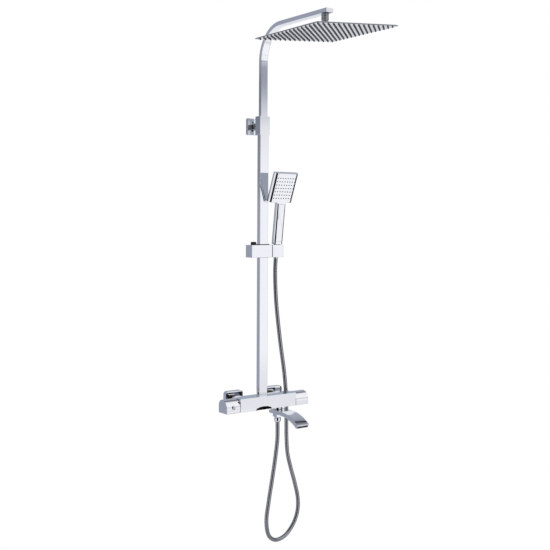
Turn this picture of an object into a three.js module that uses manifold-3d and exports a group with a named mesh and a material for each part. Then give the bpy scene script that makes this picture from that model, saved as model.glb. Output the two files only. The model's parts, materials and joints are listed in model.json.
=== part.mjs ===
// Rainfall shower column: a two-inlet wall mixer, a square rail with a sliding hand shower,
// and a height-adjustable arm that carries a square rain head.
// Millimetres, +Z up. The wall is the plane y = 0, the user stands on the -Y side, and the
// origin lies on the wall midway between the two water inlets.

import * as THREE from 'three';
import { mergeVertices } from 'three/addons/utils/BufferGeometryUtils.js';
import Module from 'manifold-3d';

const wasm = await Module();
wasm.setup();

// ---------------------------------------------------------------------------
// Driving dimensions
// ---------------------------------------------------------------------------

const fit = 0.3; // gap between pieces that touch
const turningGap = 0.8; // gap beside a piece that turns

// Wall connections
const inletSpacing = 150;
const coverSize = 64;
const coverCorner = 10;
const coverDepth = 15;
const coverWall = 2;
const unionRadius = 10.5;
const unionThreadRadius = 13.2;
const unionThreadStart = 18; // distance of the wide thread from the wall
const unionBore = 8;
const unionNutFlats = 36;
const unionNutLength = 20;
const filterThickness = 1;
const tailLength = 9.8; // mixer tail that reaches back into the nut

// Mixer bar
const barOverhang = 29; // past each inlet
const barDepth = 46;
const barHeight = 41;
const barEdge = 1.5;
const barWall = 2.5;
const barToWall = 48; // from the wall to the back of the bar
const coreRadius = 17.5;
const coreOverhang = 13; // past each inlet
const cartridgeRadius = 12;
const cartridgeDepth = 40;
const cartridgeHeadRadius = 17;
const cartridgeHeadLength = 10;
const spindleRadius = 5;
const spindleLength = 52;

// Arched pocket under the front edge of the bar
const archOffset = -17;
const archWidth = 61;
const archHeight = 11;
const archPocketDepth = 14;
const archInsertDepth = 12.2;
const archFullness = 2.4; // 2 is an ellipse; more is fuller at the shoulders

// End knobs
const knobLength = 48.7;
const knobFrontRadius = 17; // top edge towards the user
const knobBackRadius = 12; // top edge towards the wall
const knobBottomRadius = 2.5;
const knobWall = 2.5;
const knobHubRadius = 10;
const buttonRadius = 6;
const buttonFlange = 1.4;
const buttonProud = 1.2;
const buttonLength = 7.2;
const buttonDrop = 3; // below the knob's axis

// Waterfall spout, which turns on the hose outlet
const outletInset = 25; // outlet to the left of the right-hand inlet
const outletRadius = 10.7;
const outletSocket = 3; // how far the outlet screws into the core
const outletCollarSize = 22;
const outletCollarLength = 12.8;
const outletNippleRadius = 8;
const outletNippleLength = 12;
const spoutRingRadius = 15.5;
const spoutRingHeight = 7.1;
const spoutWidth = 44;
const spoutThickness = 12.5;
const spoutWall = 2;
const spoutTail = 16; // behind the turning axis
const spoutTailSlope = 11;
const spoutTailDrop = 4.5;
const spoutStraight = 44; // in front of the turning axis
const spoutBendRadius = 153;
const spoutBendAngle = 36;
const weirAngle = 4.5;
const weirSlot = 4.2;

// Column
const lowerWidth = 31;
const lowerDepth = 16;
const lowerWall = 1.5;
const lowerTop = 850;
const tubeEdge = 1.5;
const spigotLength = 30;
const spigotRadius = 6;
const upperWidth = 25;
const upperDepth = 12;
const upperWall = 1.2;
const upperFoot = 600; // lower end of the upper tube
const armHeight = 1143; // centre line of the arm
const armBendRadius = 100;
const armReach = 376.5; // from the wall to the end of the arm
const capThickness = 3;
const plugDepth = 8;
const glideLength = 12;

// Upper wall bracket
const collarDrop = 0.4; // bracket's centre below the top of the lower tube
const bracketSize = 52;
const bracketCorner = 3.5;
const bracketDepth = 10;
const bracketWall = 2;
const stemRadius = 11;
const studRadius = 5;
const studLength = 18;
const anchorRadius = 19;
const collarWidth = 36;
const collarFront = 10; // in front of the column's centre line
const collarBack = 16; // behind it
const collarHeight = 57.2;
const collarScrewRadius = 2.5;
const collarScrewRise = 16.5;
const collarScrewProud = 0.8;

// Rain head and its ball joint
const headSize = 288;
const headCorner = 6;
const headThickness = 4;
const headSkin = 1.2;
const headFace = 1;
const headOverhang = 20.5; // from the end of the arm back to the ball
const headRoll = 5.1; // the head hangs a little higher on its right
const ballRadius = 7;
const ballDrop = 26; // ball centre below the arm's centre line
const barrelRadius = 10.4;
const barrelCavity = 9.2;
const barrelRoof = 11;
const nippleRadius = 7.5;
const nippleBore = 3;
const nippleRise = 6;
const retainerTop = 4.4; // above the ball's centre
const retainerStraight = 1.9; // then it narrows to its foot
const retainerFoot = 5.6; // below the ball's centre
const retainerTip = 7.4;
const retainerLip = 6.5;
const lipTop = 3.3; // below the ball's centre
const seatFoot = 1; // above the ball's centre
const seatHeight = 1.3;
const seatWall = 0.6;
const pitchLimit = 10; // degrees the seat tilts each way
const neckRadius = 4;
const hubRadius = 20;
const hubTipRadius = 8;
const hubHeight = 14;
const chamberRadius = 60;
const chamberSlope = 8;
const chamberHeight = 5;
const headDrop = 33; // ball centre to the face of the head

// Slider and hand-shower holder
const sliderHeight = 465.75;
const sliderLeft = 51;
const sliderRight = 25.2;
const sliderDepth = 34;
const sliderTall = 38.5;
const sliderEdge = 1.5;
const bushWall = 1.4;
const bushTopProud = 2.3; // above the slider
const bushFootProud = 0.8; // below it
const holderWidth = 41.4;
const washerThickness = 0.8;
const axleRadius = 6;
const axleReach = 12; // into the holder
const pressRadius = 8.7;
const pressProud = 9.4;
const pressInside = 12;
const pressTravel = 4;
const pressOffset = -33.5;
const springLength = 12;
const springRadius = 5;
const springWire = 0.7;
const springTurns = 4;
const stopRadius = 3.6;
const stopProud = 3.3;
const stopStemRadius = 2.2;
const stopInside = 6;

// Hand shower, leaning forward in its socket
const handsetOffset = 50; // socket axis to the right of the column
const handsetForward = 3.4; // socket axis in front of the column's centre line
const handsetLean = 7.6;
const socketTopRadius = 9.9;
const socketTaper = 0.0415; // radius lost for each millimetre down
const socketSlot = 15;
const coneTop = 21.6;
const coneBottom = -22.4;
const coneBore = 4;
const handleWidth = 34;
const handleDepth = 21;
const handleEdge = 8.6;
const handleBore = 5.5;
const gripRing = 9.8;
const sprayWidth = 89;
const spraySideRadius = 8.6; // at the front of each side
const sprayBackRadius = 4;
const sprayHeight = 94.9;
const sprayDepth = 17.4;
const sprayTilt = 14.5;
const sprayRise = 128.8; // from the grip ring's foot to the spray head's lower edge
const sprayBack = 6.1; // lower edge behind the handle's front
const sprayRim = 2.1; // above and below the face
const spraySideRim = 9; // beside it
const sprayFace = 2.2;
const sprayMat = 2;
const sprayPocket = 13;

// Hose
const hoseRadius = 6.5;
const hoseNutRadius = 10.5;
const hoseNutWaist = 8.6;
const hoseNutLength = 15.6;
const hoseNutBore = 5;
const hoseSplit = 38; // height behind the bar where the hose's two stretches meet

// ---------------------------------------------------------------------------
// Places worked out from them
// ---------------------------------------------------------------------------

const barY = -(barToWall + barDepth / 2);
const barLength = inletSpacing + 2 * barOverhang;
const coreLength = inletSpacing + 2 * coreOverhang;
const outletOffset = inletSpacing / 2 - outletInset;
const columnY = -(barToWall + lowerDepth / 2);
const bracketHeight = lowerTop - collarDrop;
const barTop = barHeight / 2;
const barEnd = barLength / 2;
const knobStart = barEnd + turningGap;
const knobEnd = knobStart + knobLength;
const columnInBar = columnY - barY;
const spoutTop = -barTop - 2 * fit - spoutRingHeight;
const spoutUnder = spoutTop - spoutThickness;
const collarTopZ = spoutUnder - fit;
const collarFootZ = collarTopZ - outletCollarLength;
const armLength = armReach + columnY; // from the column's centre line to the arm's end
const headY = -(armReach - headOverhang);
const tailEnd = barToWall - tailLength; // distance of the mixer tails from the wall
const unionEnd = tailEnd - filterThickness - 2 * fit;
const bracketFront = bracketDepth + fit;
const holderLeft = sliderRight + washerThickness + 2 * fit;
const holderRight = holderLeft + holderWidth;
const headTopPlane = -headDrop + headThickness;
const handleFoot = coneTop + fit;
const gripTop = handleFoot + gripRing;
const socketRadius = (z) => socketTopRadius - socketTaper * (sliderTall / 2 - z);

// ---------------------------------------------------------------------------
// Solids
// ---------------------------------------------------------------------------

const X = new THREE.Vector3(1, 0, 0);
const Y = new THREE.Vector3(0, 1, 0);
const Z = new THREE.Vector3(0, 0, 1);
const along = {
  x: new THREE.Matrix4().makeBasis(Y, Z, X),
  y: new THREE.Matrix4().makeBasis(X, Z, Y.clone().negate()),
  z: new THREE.Matrix4(),
};

// A closed three.js geometry as a solid that can be joined and cut.
function solid(geometry) {
  const bare = geometry.clone();
  bare.deleteAttribute('normal');
  bare.deleteAttribute('uv');
  const merged = mergeVertices(bare, 1e-4);
  const index = Array.from(merged.index.array);
  const faces = [];
  for (let i = 0; i < index.length; i += 3) {
    const [a, b, c] = index.slice(i, i + 3);
    if (a !== b && b !== c && c !== a) {
      faces.push(a, b, c);
    }
  }
  return new wasm.Manifold(new wasm.Mesh({
    numProp: 3,
    vertProperties: new Float32Array(merged.attributes.position.array),
    triVerts: new Uint32Array(faces),
  }));
}

function geometryOf(shape) {
  const mesh = shape.getMesh();
  const geometry = new THREE.BufferGeometry();
  geometry.setAttribute('position', new THREE.BufferAttribute(mesh.vertProperties, 3));
  geometry.setIndex(new THREE.BufferAttribute(mesh.triVerts, 1));
  const flat = geometry.toNonIndexed();
  flat.computeVertexNormals();
  return flat;
}

// An outline pushed along an axis. Outlines are (y, z) for x, (x, z) for y and (x, y) for z.
function prism(shape, axis, from, to, steps = 3) {
  const depth = to - from;
  const options = { depth, bevelEnabled: false, curveSegments: steps };
  const geometry = new THREE.ExtrudeGeometry(shape, options).applyMatrix4(along[axis]);
  const shift = axis === 'y' ? to : from;
  return geometry.translate(
    axis === 'x' ? shift : 0,
    axis === 'y' ? shift : 0,
    axis === 'z' ? shift : 0,
  );
}

// A round bar or cone along an axis, at (u, v) on the other two axes in order.
function rod(axis, from, to, radius, { u = 0, v = 0, endRadius = radius, sides = 24 } = {}) {
  const geometry = new THREE.CylinderGeometry(endRadius, radius, to - from, sides);
  const middle = (from + to) / 2;
  if (axis === 'x') {
    return geometry.rotateZ(-Math.PI / 2).translate(middle, u, v);
  }
  if (axis === 'z') {
    return geometry.rotateX(Math.PI / 2).translate(u, v, middle);
  }
  return geometry.translate(u, middle, v);
}

function block(x0, x1, y0, y1, z0, z1) {
  return new THREE.BoxGeometry(x1 - x0, y1 - y0, z1 - z0)
    .translate((x0 + x1) / 2, (y0 + y1) / 2, (z0 + z1) / 2);
}

// A turned shape about Z from [radius, height] pairs, lowest first.
function turned(profile, sides = 24) {
  const points = profile.map(([r, z]) => new THREE.Vector2(r, z));
  return new THREE.LatheGeometry(points, sides).rotateX(Math.PI / 2);
}

function polygon(points) {
  return new THREE.Shape(points.map(([u, v]) => new THREE.Vector2(u, v)));
}

// A rectangle centred on the origin. The lower corners and the top left one may have radii of
// their own.
function plate(width, height, corner, lowCorner = corner, leftCorner = corner) {
  const w = width / 2;
  const h = height / 2;
  const shape = new THREE.Shape();
  shape.moveTo(w, -h + lowCorner);
  shape.lineTo(w, h - corner);
  shape.absarc(w - corner, h - corner, corner, 0, Math.PI / 2);
  shape.lineTo(-w + leftCorner, h);
  shape.absarc(-w + leftCorner, h - leftCorner, leftCorner, Math.PI / 2, Math.PI);
  shape.lineTo(-w, -h + lowCorner);
  shape.absarc(-w + lowCorner, -h + lowCorner, lowCorner, Math.PI, 1.5 * Math.PI);
  shape.lineTo(w - lowCorner, -h);
  shape.absarc(w - lowCorner, -h + lowCorner, lowCorner, 1.5 * Math.PI, 2 * Math.PI);
  return shape;
}

function cut(base, ...tools) {
  return tools.reduce((left, tool) => left.subtract(solid(tool)), solid(base));
}

function join(...pieces) {
  return pieces.map(solid).reduce((whole, piece) => whole.add(piece));
}

// ---------------------------------------------------------------------------
// Finishes
// ---------------------------------------------------------------------------

const finish = (color, roughness, metalness) =>
  new THREE.MeshStandardMaterial({ color, roughness, metalness });

const chrome = finish(0xd9dce2, 0.08, 1);
const brass = finish(0xb5924c, 0.4, 1);
const steel = finish(0xb9bcc0, 0.3, 1);
const blackPlastic = finish(0x111214, 0.45, 0);
const whitePlastic = finish(0xe6e6e2, 0.5, 0);
const greyRubber = finish(0x3a3c40, 0.8, 0);

const shower = new THREE.Group();

function group(parent, x, y, z) {
  const made = new THREE.Group();
  made.position.set(x, y, z);
  parent.add(made);
  return made;
}

function add(parent, name, shape, material) {
  const geometry = shape.isBufferGeometry ? shape : geometryOf(shape);
  const mesh = new THREE.Mesh(geometry, material);
  mesh.name = name;
  parent.add(mesh);
  return mesh;
}

// ---------------------------------------------------------------------------
// Wall connections: cover, threaded union, nut and filter washer at each inlet
// ---------------------------------------------------------------------------

for (const [side, sign] of [['left', -1], ['right', 1]]) {
  const inlet = group(shower, sign * inletSpacing / 2, 0, 0);
  const inside = coverSize - 2 * coverWall;
  add(inlet, `cover_${side}`, cut(
    prism(plate(coverSize, coverSize, coverCorner), 'y', -coverDepth, 0),
    prism(plate(inside, inside, coverCorner - coverWall), 'y', -coverDepth + coverWall, 1),
    rod('y', -coverDepth - 1, 0, unionRadius + fit),
  ), chrome);

  add(inlet, `union_${side}`, join(
    rod('y', -unionThreadStart, 0, unionRadius),
    rod('y', -unionEnd, -unionThreadStart, unionThreadRadius),
  ).subtract(solid(rod('y', -unionEnd - 1, 1, unionBore, { sides: 16 }))), brass);

  const nutEnd = barToWall - fit;
  const nutCorner = unionNutFlats / 2 / Math.cos(Math.PI / 6);
  add(inlet, `union_nut_${side}`, cut(
    rod('y', -nutEnd, -nutEnd + unionNutLength, nutCorner, { sides: 6 }),
    rod('y', -nutEnd - 1, -nutEnd + unionNutLength + 1, unionThreadRadius + fit),
  ), chrome);

  add(inlet, `inlet_filter_${side}`, cut(
    rod('y', -tailEnd + fit, -tailEnd + fit + filterThickness, unionThreadRadius - fit),
    rod('y', -tailEnd - 1, -unionEnd + 1, unionBore, { sides: 16 }),
  ), greyRubber);
}

// ---------------------------------------------------------------------------
// Mixer bar
// ---------------------------------------------------------------------------

const mixer = group(shower, 0, barY, 0);
const outlet = { u: outletOffset, v: 0 };
const shellHeight = barHeight - 2 * barWall;
const shellDepth = barDepth - 2 * barWall;

// The pocket is a flat arch with full shoulders that springs from the bar's lower edge.
function archOutline(growth, floor) {
  const spread = archWidth / 2 + growth;
  const rise = archHeight + growth;
  const steps = 24;
  const points = [[archOffset + spread, floor]];
  for (let i = 1; i < steps; i += 1) {
    const turn = Math.PI * i / steps;
    const u = Math.sign(Math.cos(turn)) * Math.abs(Math.cos(turn)) ** (2 / archFullness);
    const v = Math.sin(turn) ** (2 / archFullness);
    points.push([archOffset + spread * u, Math.max(floor, rise * v - barTop)]);
  }
  points.push([archOffset - spread, floor]);
  return polygon(points);
}

const front = -barDepth / 2;
const shellHoles = [
  prism(plate(shellDepth, shellHeight, 1), 'x', -barEnd - 1, barEnd + 1),
  rod('z', 0, barTop + 1, spigotRadius + fit, { u: 0, v: columnInBar }),
  rod('z', -barTop - 1, 0, outletRadius + fit, outlet),
  prism(archOutline(0, -barTop - 1), 'y', front - 1, front + archPocketDepth, 10),
];
for (const sign of [-1, 1]) {
  const tailHole = { u: sign * inletSpacing / 2, v: 0 };
  shellHoles.push(rod('y', 0, barDepth / 2 + 1, unionThreadRadius + fit, tailHole));
}
const shellOutline = plate(barDepth, barHeight, barEdge);
add(mixer, 'mixer_shell', cut(
  prism(shellOutline, 'x', -barEnd, barEnd, 1),
  ...shellHoles,
), chrome);

const coreParts = [
  rod('x', -coreLength / 2, coreLength / 2, coreRadius),
  rod('z', 0, barTop + spigotLength, spigotRadius, { u: 0, v: columnInBar, sides: 16 }),
];
for (const sign of [-1, 1]) {
  const tail = { u: sign * inletSpacing / 2, v: 0 };
  coreParts.push(rod('y', 0, barDepth / 2 + tailLength, unionThreadRadius, tail));
}
let core = join(...coreParts);
for (const sign of [-1, 1]) {
  const end = sign * (coreLength / 2 + 1);
  const floor = sign * (coreLength / 2 - cartridgeDepth - fit);
  const bore = rod('x', Math.min(end, floor), Math.max(end, floor), cartridgeRadius + fit);
  const waterway = { u: sign * inletSpacing / 2, v: 0, sides: 12 };
  core = core.subtract(solid(bore));
  core = core.subtract(solid(rod('y', 0, barDepth / 2 + tailLength + 1, unionBore, waterway)));
}
const outletRecess = -coreRadius + outletSocket;
core = core.subtract(solid(rod('z', -barTop, outletRecess, outletRadius + fit, outlet)));
const archSeat = archOutline(fit, -barTop);
core = core.subtract(solid(prism(archSeat, 'y', front - 1, front + archPocketDepth, 10)));
add(mixer, 'mixer_core', core, brass);

const insert = prism(
  archOutline(-fit, -barTop + fit),
  'y',
  front + archPocketDepth - archInsertDepth,
  front + archPocketDepth - fit,
  10,
);
add(mixer, 'arch_insert', solid(insert), blackPlastic);

for (const [name, sign] of [['thermo', -1], ['flow', 1]]) {
  const cartridge = group(mixer, sign * coreLength / 2, 0, 0);
  cartridge.rotation.z = sign < 0 ? Math.PI : 0;
  const seat = -cartridgeHeadLength;
  add(cartridge, `${name}_cartridge`, join(
    rod('x', -cartridgeDepth, fit + 1, cartridgeRadius),
    rod('x', fit, fit + cartridgeHeadLength, cartridgeHeadRadius),
  ).subtract(solid(rod('x', seat, coreRadius, spindleRadius + fit, { sides: 16 }))), brass);
  add(cartridge, `${name}_spindle`, solid(
    rod('x', seat + fit, seat + fit + spindleLength, spindleRadius, { sides: 16 }),
  ), steel);
}

// End knobs: the top edges are generously rounded, the lower ones are crisp.
const knobOutline = plate(
  barDepth, barHeight, knobBackRadius, knobBottomRadius, knobFrontRadius,
);
const knobInside = plate(
  barDepth - 2 * knobWall,
  barHeight - 2 * knobWall,
  knobBackRadius - knobWall,
  1,
  knobFrontRadius - knobWall,
);
function knob(sign) {
  const near = sign * knobStart;
  const far = sign * knobEnd;
  const floor = sign * (knobEnd - knobWall);
  const [a, b] = [near, far].sort((p, q) => p - q);
  const [c, d] = [near - sign, floor].sort((p, q) => p - q);
  const [e, f] = [near + sign * 2, far - sign].sort((p, q) => p - q);
  const socket = [near - sign, far - sign * 2 * knobWall].sort((p, q) => p - q);
  return cut(prism(knobOutline, 'x', a, b, 6), prism(knobInside, 'x', c, d, 6))
    .add(solid(rod('x', e, f, knobHubRadius)))
    .subtract(solid(rod('x', ...socket, spindleRadius + fit, { sides: 16 })));
}
const buttonX = -(knobStart + knobEnd) / 2;
const buttonAt = { u: buttonX, v: -buttonDrop };
const buttonHole = rod('y', front - 1, front + knobWall + 1, buttonRadius + fit, buttonAt);
add(mixer, 'temp_knob', knob(-1).subtract(solid(buttonHole)), chrome);
add(mixer, 'flow_knob', knob(1), chrome);

const flangeFront = front + knobWall + fit;
add(mixer, 'safety_button', join(
  rod('y', front - buttonProud, front - buttonProud + buttonLength, buttonRadius, buttonAt),
  rod('y', flangeFront, flangeFront + 2, buttonRadius + buttonFlange, buttonAt),
), chrome);

// ---------------------------------------------------------------------------
// Hose outlet and the waterfall spout that turns on it
// ---------------------------------------------------------------------------

const half = outletCollarSize / 2;
add(mixer, 'hose_outlet', join(
  rod('z', collarFootZ, outletRecess - fit, outletRadius, outlet),
  block(outletOffset - half, outletOffset + half, -half, half, collarFootZ, collarTopZ),
  rod('z', collarFootZ - outletNippleLength, collarFootZ, outletNippleRadius, outlet),
), chrome);

add(mixer, 'spout_ring', cut(
  rod('z', -barTop - fit - spoutRingHeight, -barTop - fit, spoutRingRadius, outlet),
  rod('z', spoutTop - 1, -barTop, outletRadius + fit, outlet),
), chrome);

const spout = group(mixer, outletOffset, 0, spoutTop);
const bendEnd = Math.PI / 2 + THREE.MathUtils.degToRad(spoutBendAngle);

// A stretch of the spout's side outline between two depths below its top surface.
function spoutOutline(top, bottom, back, slope, drop, endAngle) {
  const shape = new THREE.Shape();
  shape.moveTo(back, -bottom);
  shape.lineTo(back, -top - drop);
  shape.lineTo(back - slope, -top);
  shape.lineTo(-spoutStraight, -top);
  shape.absarc(-spoutStraight, -spoutBendRadius, spoutBendRadius - top, Math.PI / 2, endAngle);
  shape.absarc(-spoutStraight, -spoutBendRadius, spoutBendRadius - bottom, endAngle, Math.PI / 2, true);
  return shape;
}
const spoutHalf = spoutWidth / 2;
const channelHalf = spoutHalf - spoutWall;
const channelFloor = spoutThickness - spoutWall;
add(spout, 'spout_body', cut(
  prism(
    spoutOutline(0, spoutThickness, spoutTail, spoutTailSlope, spoutTailDrop, bendEnd),
    'x', -spoutHalf, spoutHalf, 8,
  ),
  prism(
    spoutOutline(spoutWall, channelFloor, -outletRadius + 1, 0, 0, bendEnd + 0.01),
    'x', -channelHalf, channelHalf, 8,
  ),
  rod('z', -spoutThickness - 1, 1, outletRadius + fit),
), chrome);

// The weir fills the upper part of the mouth and leaves a slot along its floor.
const weirStart = bendEnd - THREE.MathUtils.degToRad(weirAngle);
const weirOuter = spoutBendRadius - spoutWall - fit;
const weirInner = spoutBendRadius - channelFloor + weirSlot;
const weir = new THREE.Shape();
weir.absarc(-spoutStraight, -spoutBendRadius, weirOuter, weirStart, bendEnd - 0.006);
weir.absarc(-spoutStraight, -spoutBendRadius, weirInner, bendEnd - 0.006, weirStart, true);
const weirHalf = channelHalf - fit;
add(spout, 'spout_weir', solid(prism(weir, 'x', -weirHalf, weirHalf, 2)), steel);

// ---------------------------------------------------------------------------
// Column: fixed lower tube, wall bracket, and the upper tube that telescopes in it
// ---------------------------------------------------------------------------

const column = group(shower, 0, columnY, 0);
const lowerOutline = plate(lowerWidth, lowerDepth, tubeEdge);
const lowerInside = plate(lowerWidth - 2 * lowerWall, lowerDepth - 2 * lowerWall, 0.5);
add(column, 'column_lower', cut(
  prism(lowerOutline, 'z', barTop + fit, lowerTop, 1),
  prism(lowerInside, 'z', 0, lowerTop + 1, 1),
), chrome);

const bracket = group(shower, 0, columnY, bracketHeight);
const collarHalf = collarHeight / 2;
const collarHole = plate(lowerWidth + 2 * fit, lowerDepth + 2 * fit, tubeEdge);
const screwHole = { u: 0, v: collarScrewRise, sides: 12 };
add(bracket, 'bracket_collar', cut(
  block(-collarWidth / 2, collarWidth / 2, -collarFront, collarBack, -collarHalf, collarHalf),
  prism(collarHole, 'z', -collarHalf - 1, collarHalf + 1, 1),
  rod('x', 0, collarWidth, collarScrewRadius + fit, screwHole),
), chrome);

add(bracket, 'collar_bush', cut(
  prism(lowerOutline, 'z', lowerTop - bracketHeight + fit, collarHalf - 1, 1),
  prism(plate(upperWidth + 2 * fit, upperDepth + 2 * fit, 0.5), 'z', -collarHalf, collarHalf, 1),
), blackPlastic);

add(bracket, 'collar_screw', solid(
  rod('x', lowerWidth / 2 + fit, collarWidth / 2 + collarScrewProud, collarScrewRadius, screwHole),
), steel);

const wallPlate = group(shower, 0, 0, bracketHeight);
const plateInside = bracketSize - 2 * bracketWall;
add(wallPlate, 'bracket_plate', cut(
  prism(plate(bracketSize, bracketSize, bracketCorner), 'y', -bracketDepth, 0),
  prism(
    plate(plateInside, plateInside, bracketCorner - bracketWall),
    'y', -bracketDepth + bracketWall, 1,
  ),
  rod('y', -bracketDepth - 1, 0, stemRadius + fit),
), chrome);

const anchorFront = -bracketDepth + bracketWall + fit;
add(wallPlate, 'bracket_anchor', join(
  rod('y', anchorFront, 0, anchorRadius),
  rod('y', anchorFront - studLength, anchorFront, studRadius, { sides: 16 }),
), steel);

add(wallPlate, 'bracket_stem', cut(
  rod('y', columnY + collarBack + fit, anchorFront - fit, stemRadius),
  rod('y', anchorFront - studLength - fit, 1, studRadius + fit, { sides: 16 }),
), chrome);

// Upper tube: an L-shaped side outline with a large bend, pushed across its width.
const riser = group(shower, 0, columnY, armHeight);
const riserFoot = upperFoot - armHeight;
const armEnd = -armLength + capThickness + fit;
function riserOutline(halfDepth, foot, end) {
  const shape = new THREE.Shape();
  const bend = armBendRadius;
  shape.moveTo(halfDepth, foot);
  shape.lineTo(halfDepth, -bend);
  shape.absarc(-bend, -bend, bend + halfDepth, 0, Math.PI / 2);
  shape.lineTo(end, halfDepth);
  shape.lineTo(end, -halfDepth);
  shape.absarc(-bend, -bend, bend - halfDepth, Math.PI / 2, 0, true);
  shape.lineTo(-halfDepth, foot);
  return shape;
}
const upperHalf = upperWidth / 2;
const boreHalf = upperHalf - upperWall;
const headInColumn = headY - columnY;
add(riser, 'column_upper', cut(
  prism(riserOutline(upperDepth / 2, riserFoot, armEnd), 'x', -upperHalf, upperHalf, 12),
  prism(
    riserOutline(upperDepth / 2 - upperWall, riserFoot - 1, armEnd - 1),
    'x', -boreHalf, boreHalf, 12,
  ),
  rod('z', -upperDepth, 0, nippleRadius + fit, { u: 0, v: headInColumn, sides: 20 }),
), chrome);

const plugWidth = upperWidth - 2 * upperWall - 2 * fit;
const plugHeight = upperDepth - 2 * upperWall - 2 * fit;
const glideWidth = lowerWidth - 2 * lowerWall - 2 * fit;
const glideDepth = lowerDepth - 2 * lowerWall - 2 * fit;
add(riser, 'riser_glide', join(
  prism(plate(glideWidth, glideDepth, 1), 'z', riserFoot - fit - glideLength, riserFoot - fit, 1),
  prism(plate(plugWidth, plugHeight, 1), 'z', riserFoot - fit, riserFoot + plugDepth, 1),
).subtract(solid(
  rod('z', riserFoot - glideLength - 1, riserFoot + plugDepth + 1, nippleBore, { sides: 12 }),
)), blackPlastic);

add(riser, 'arm_end_cap', join(
  prism(plate(upperWidth, upperDepth, tubeEdge), 'y', -armLength, -armLength + capThickness, 1),
  prism(plate(plugWidth, plugHeight, 1), 'y', armEnd - fit, armEnd + plugDepth, 1),
), chrome);

// ---------------------------------------------------------------------------
// Ball joint and rain head
// ---------------------------------------------------------------------------

const joint = group(riser, 0, headInColumn, -ballDrop);
// The seat turns about the ball's centre, so its bore and floor clear its corners.
const seatRadius = ballRadius + fit + seatWall;
const pitch = THREE.MathUtils.degToRad(pitchLimit);
const retainerBore = Math.hypot(seatRadius, seatFoot + seatHeight) + fit;
const retainerStep = seatFoot * Math.cos(pitch) - seatRadius * Math.sin(pitch) - fit;
const barrelTop = ballDrop - upperDepth / 2 - fit;
add(joint, 'swivel_barrel', join(
  rod('z', retainerTop + fit, barrelTop, barrelRadius),
  rod('z', barrelTop, barrelTop + nippleRise, nippleRadius),
).subtract(solid(rod('z', retainerTop, barrelRoof, barrelCavity)))
  .subtract(solid(rod('z', 0, barrelTop + nippleRise + 1, nippleBore, { sides: 12 }))), chrome);

const retainerShoulder = retainerTop - retainerStraight;
add(joint, 'swivel_retainer', join(
  rod('z', retainerShoulder, retainerTop, barrelRadius),
  rod('z', -retainerFoot, retainerShoulder, retainerTip, { endRadius: barrelRadius }),
).subtract(solid(rod('z', retainerStep, retainerTop + 1, retainerBore)))
  .subtract(solid(rod('z', -lipTop, retainerStep + 0.1, ballRadius + fit)))
  .subtract(solid(rod('z', -retainerFoot - 1, -lipTop + 0.1, retainerLip))), chrome);

add(joint, 'ball_seat', cut(
  rod('z', seatFoot, seatFoot + seatHeight, seatRadius),
  rod('z', seatFoot - 1, seatFoot + seatHeight + 1, ballRadius + fit),
), whitePlastic);

const tilted = group(joint, 0, 0, 0);
tilted.rotation.y = -THREE.MathUtils.degToRad(headRoll);

add(tilted, 'ball_washer', cut(
  rod('z', ballRadius + fit, ballRadius + fit + 1.2, 4, { sides: 16 }),
  rod('z', 0, 12, nippleBore / 2, { sides: 12 }),
), whitePlastic);

const ballProfile = [[0, -headDrop + headThickness + chamberHeight + fit]];
ballProfile.push([neckRadius, -headDrop + headThickness + chamberHeight + fit]);
const ballStart = Math.asin(neckRadius / ballRadius);
const ballSteps = 8;
for (let i = 0; i <= ballSteps; i += 1) {
  const angle = ballStart + (Math.PI - ballStart) * i / ballSteps;
  const r = i === ballSteps ? 0 : ballRadius * Math.sin(angle);
  ballProfile.push([r, -ballRadius * Math.cos(angle)]);
}
add(tilted, 'head_ball', solid(turned(ballProfile)), brass);

const hubFoot = headTopPlane + chamberHeight + fit;
add(tilted, 'head_hub', cut(
  rod('z', hubFoot, hubFoot + hubHeight, hubRadius, { endRadius: hubTipRadius }),
  rod('z', hubFoot - 1, hubFoot + hubHeight + 1, neckRadius + fit),
), chrome);

const panInside = headSize - 2 * headSkin;
const chamberTop = headTopPlane + chamberHeight;
const chamberTip = chamberRadius - chamberSlope;
add(tilted, 'head_pan', join(
  prism(plate(headSize, headSize, headCorner), 'z', -headDrop, headTopPlane),
  rod('z', headTopPlane - 0.5, chamberTop, chamberRadius, { endRadius: chamberTip, sides: 32 }),
).subtract(solid(
  prism(plate(panInside, panInside, headCorner - headSkin), 'z', -headDrop - 1, headTopPlane - headSkin),
)).subtract(solid(rod('z', headTopPlane - headSkin - 1, chamberTop - headSkin, chamberTip - headSkin, {
  sides: 32,
}))), chrome);

const faceSize = panInside - 2 * fit;
const faceCorner = headCorner - headSkin - fit;
const matTop = headTopPlane - headSkin - fit;
add(tilted, 'head_face', solid(
  prism(plate(faceSize, faceSize, faceCorner), 'z', -headDrop, -headDrop + headFace),
), chrome);
add(tilted, 'head_mat', solid(
  prism(plate(faceSize, faceSize, faceCorner), 'z', -headDrop + headFace + fit, matTop),
), greyRubber);

// ---------------------------------------------------------------------------
// Slider on the lower tube, with its release button
// ---------------------------------------------------------------------------

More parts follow.
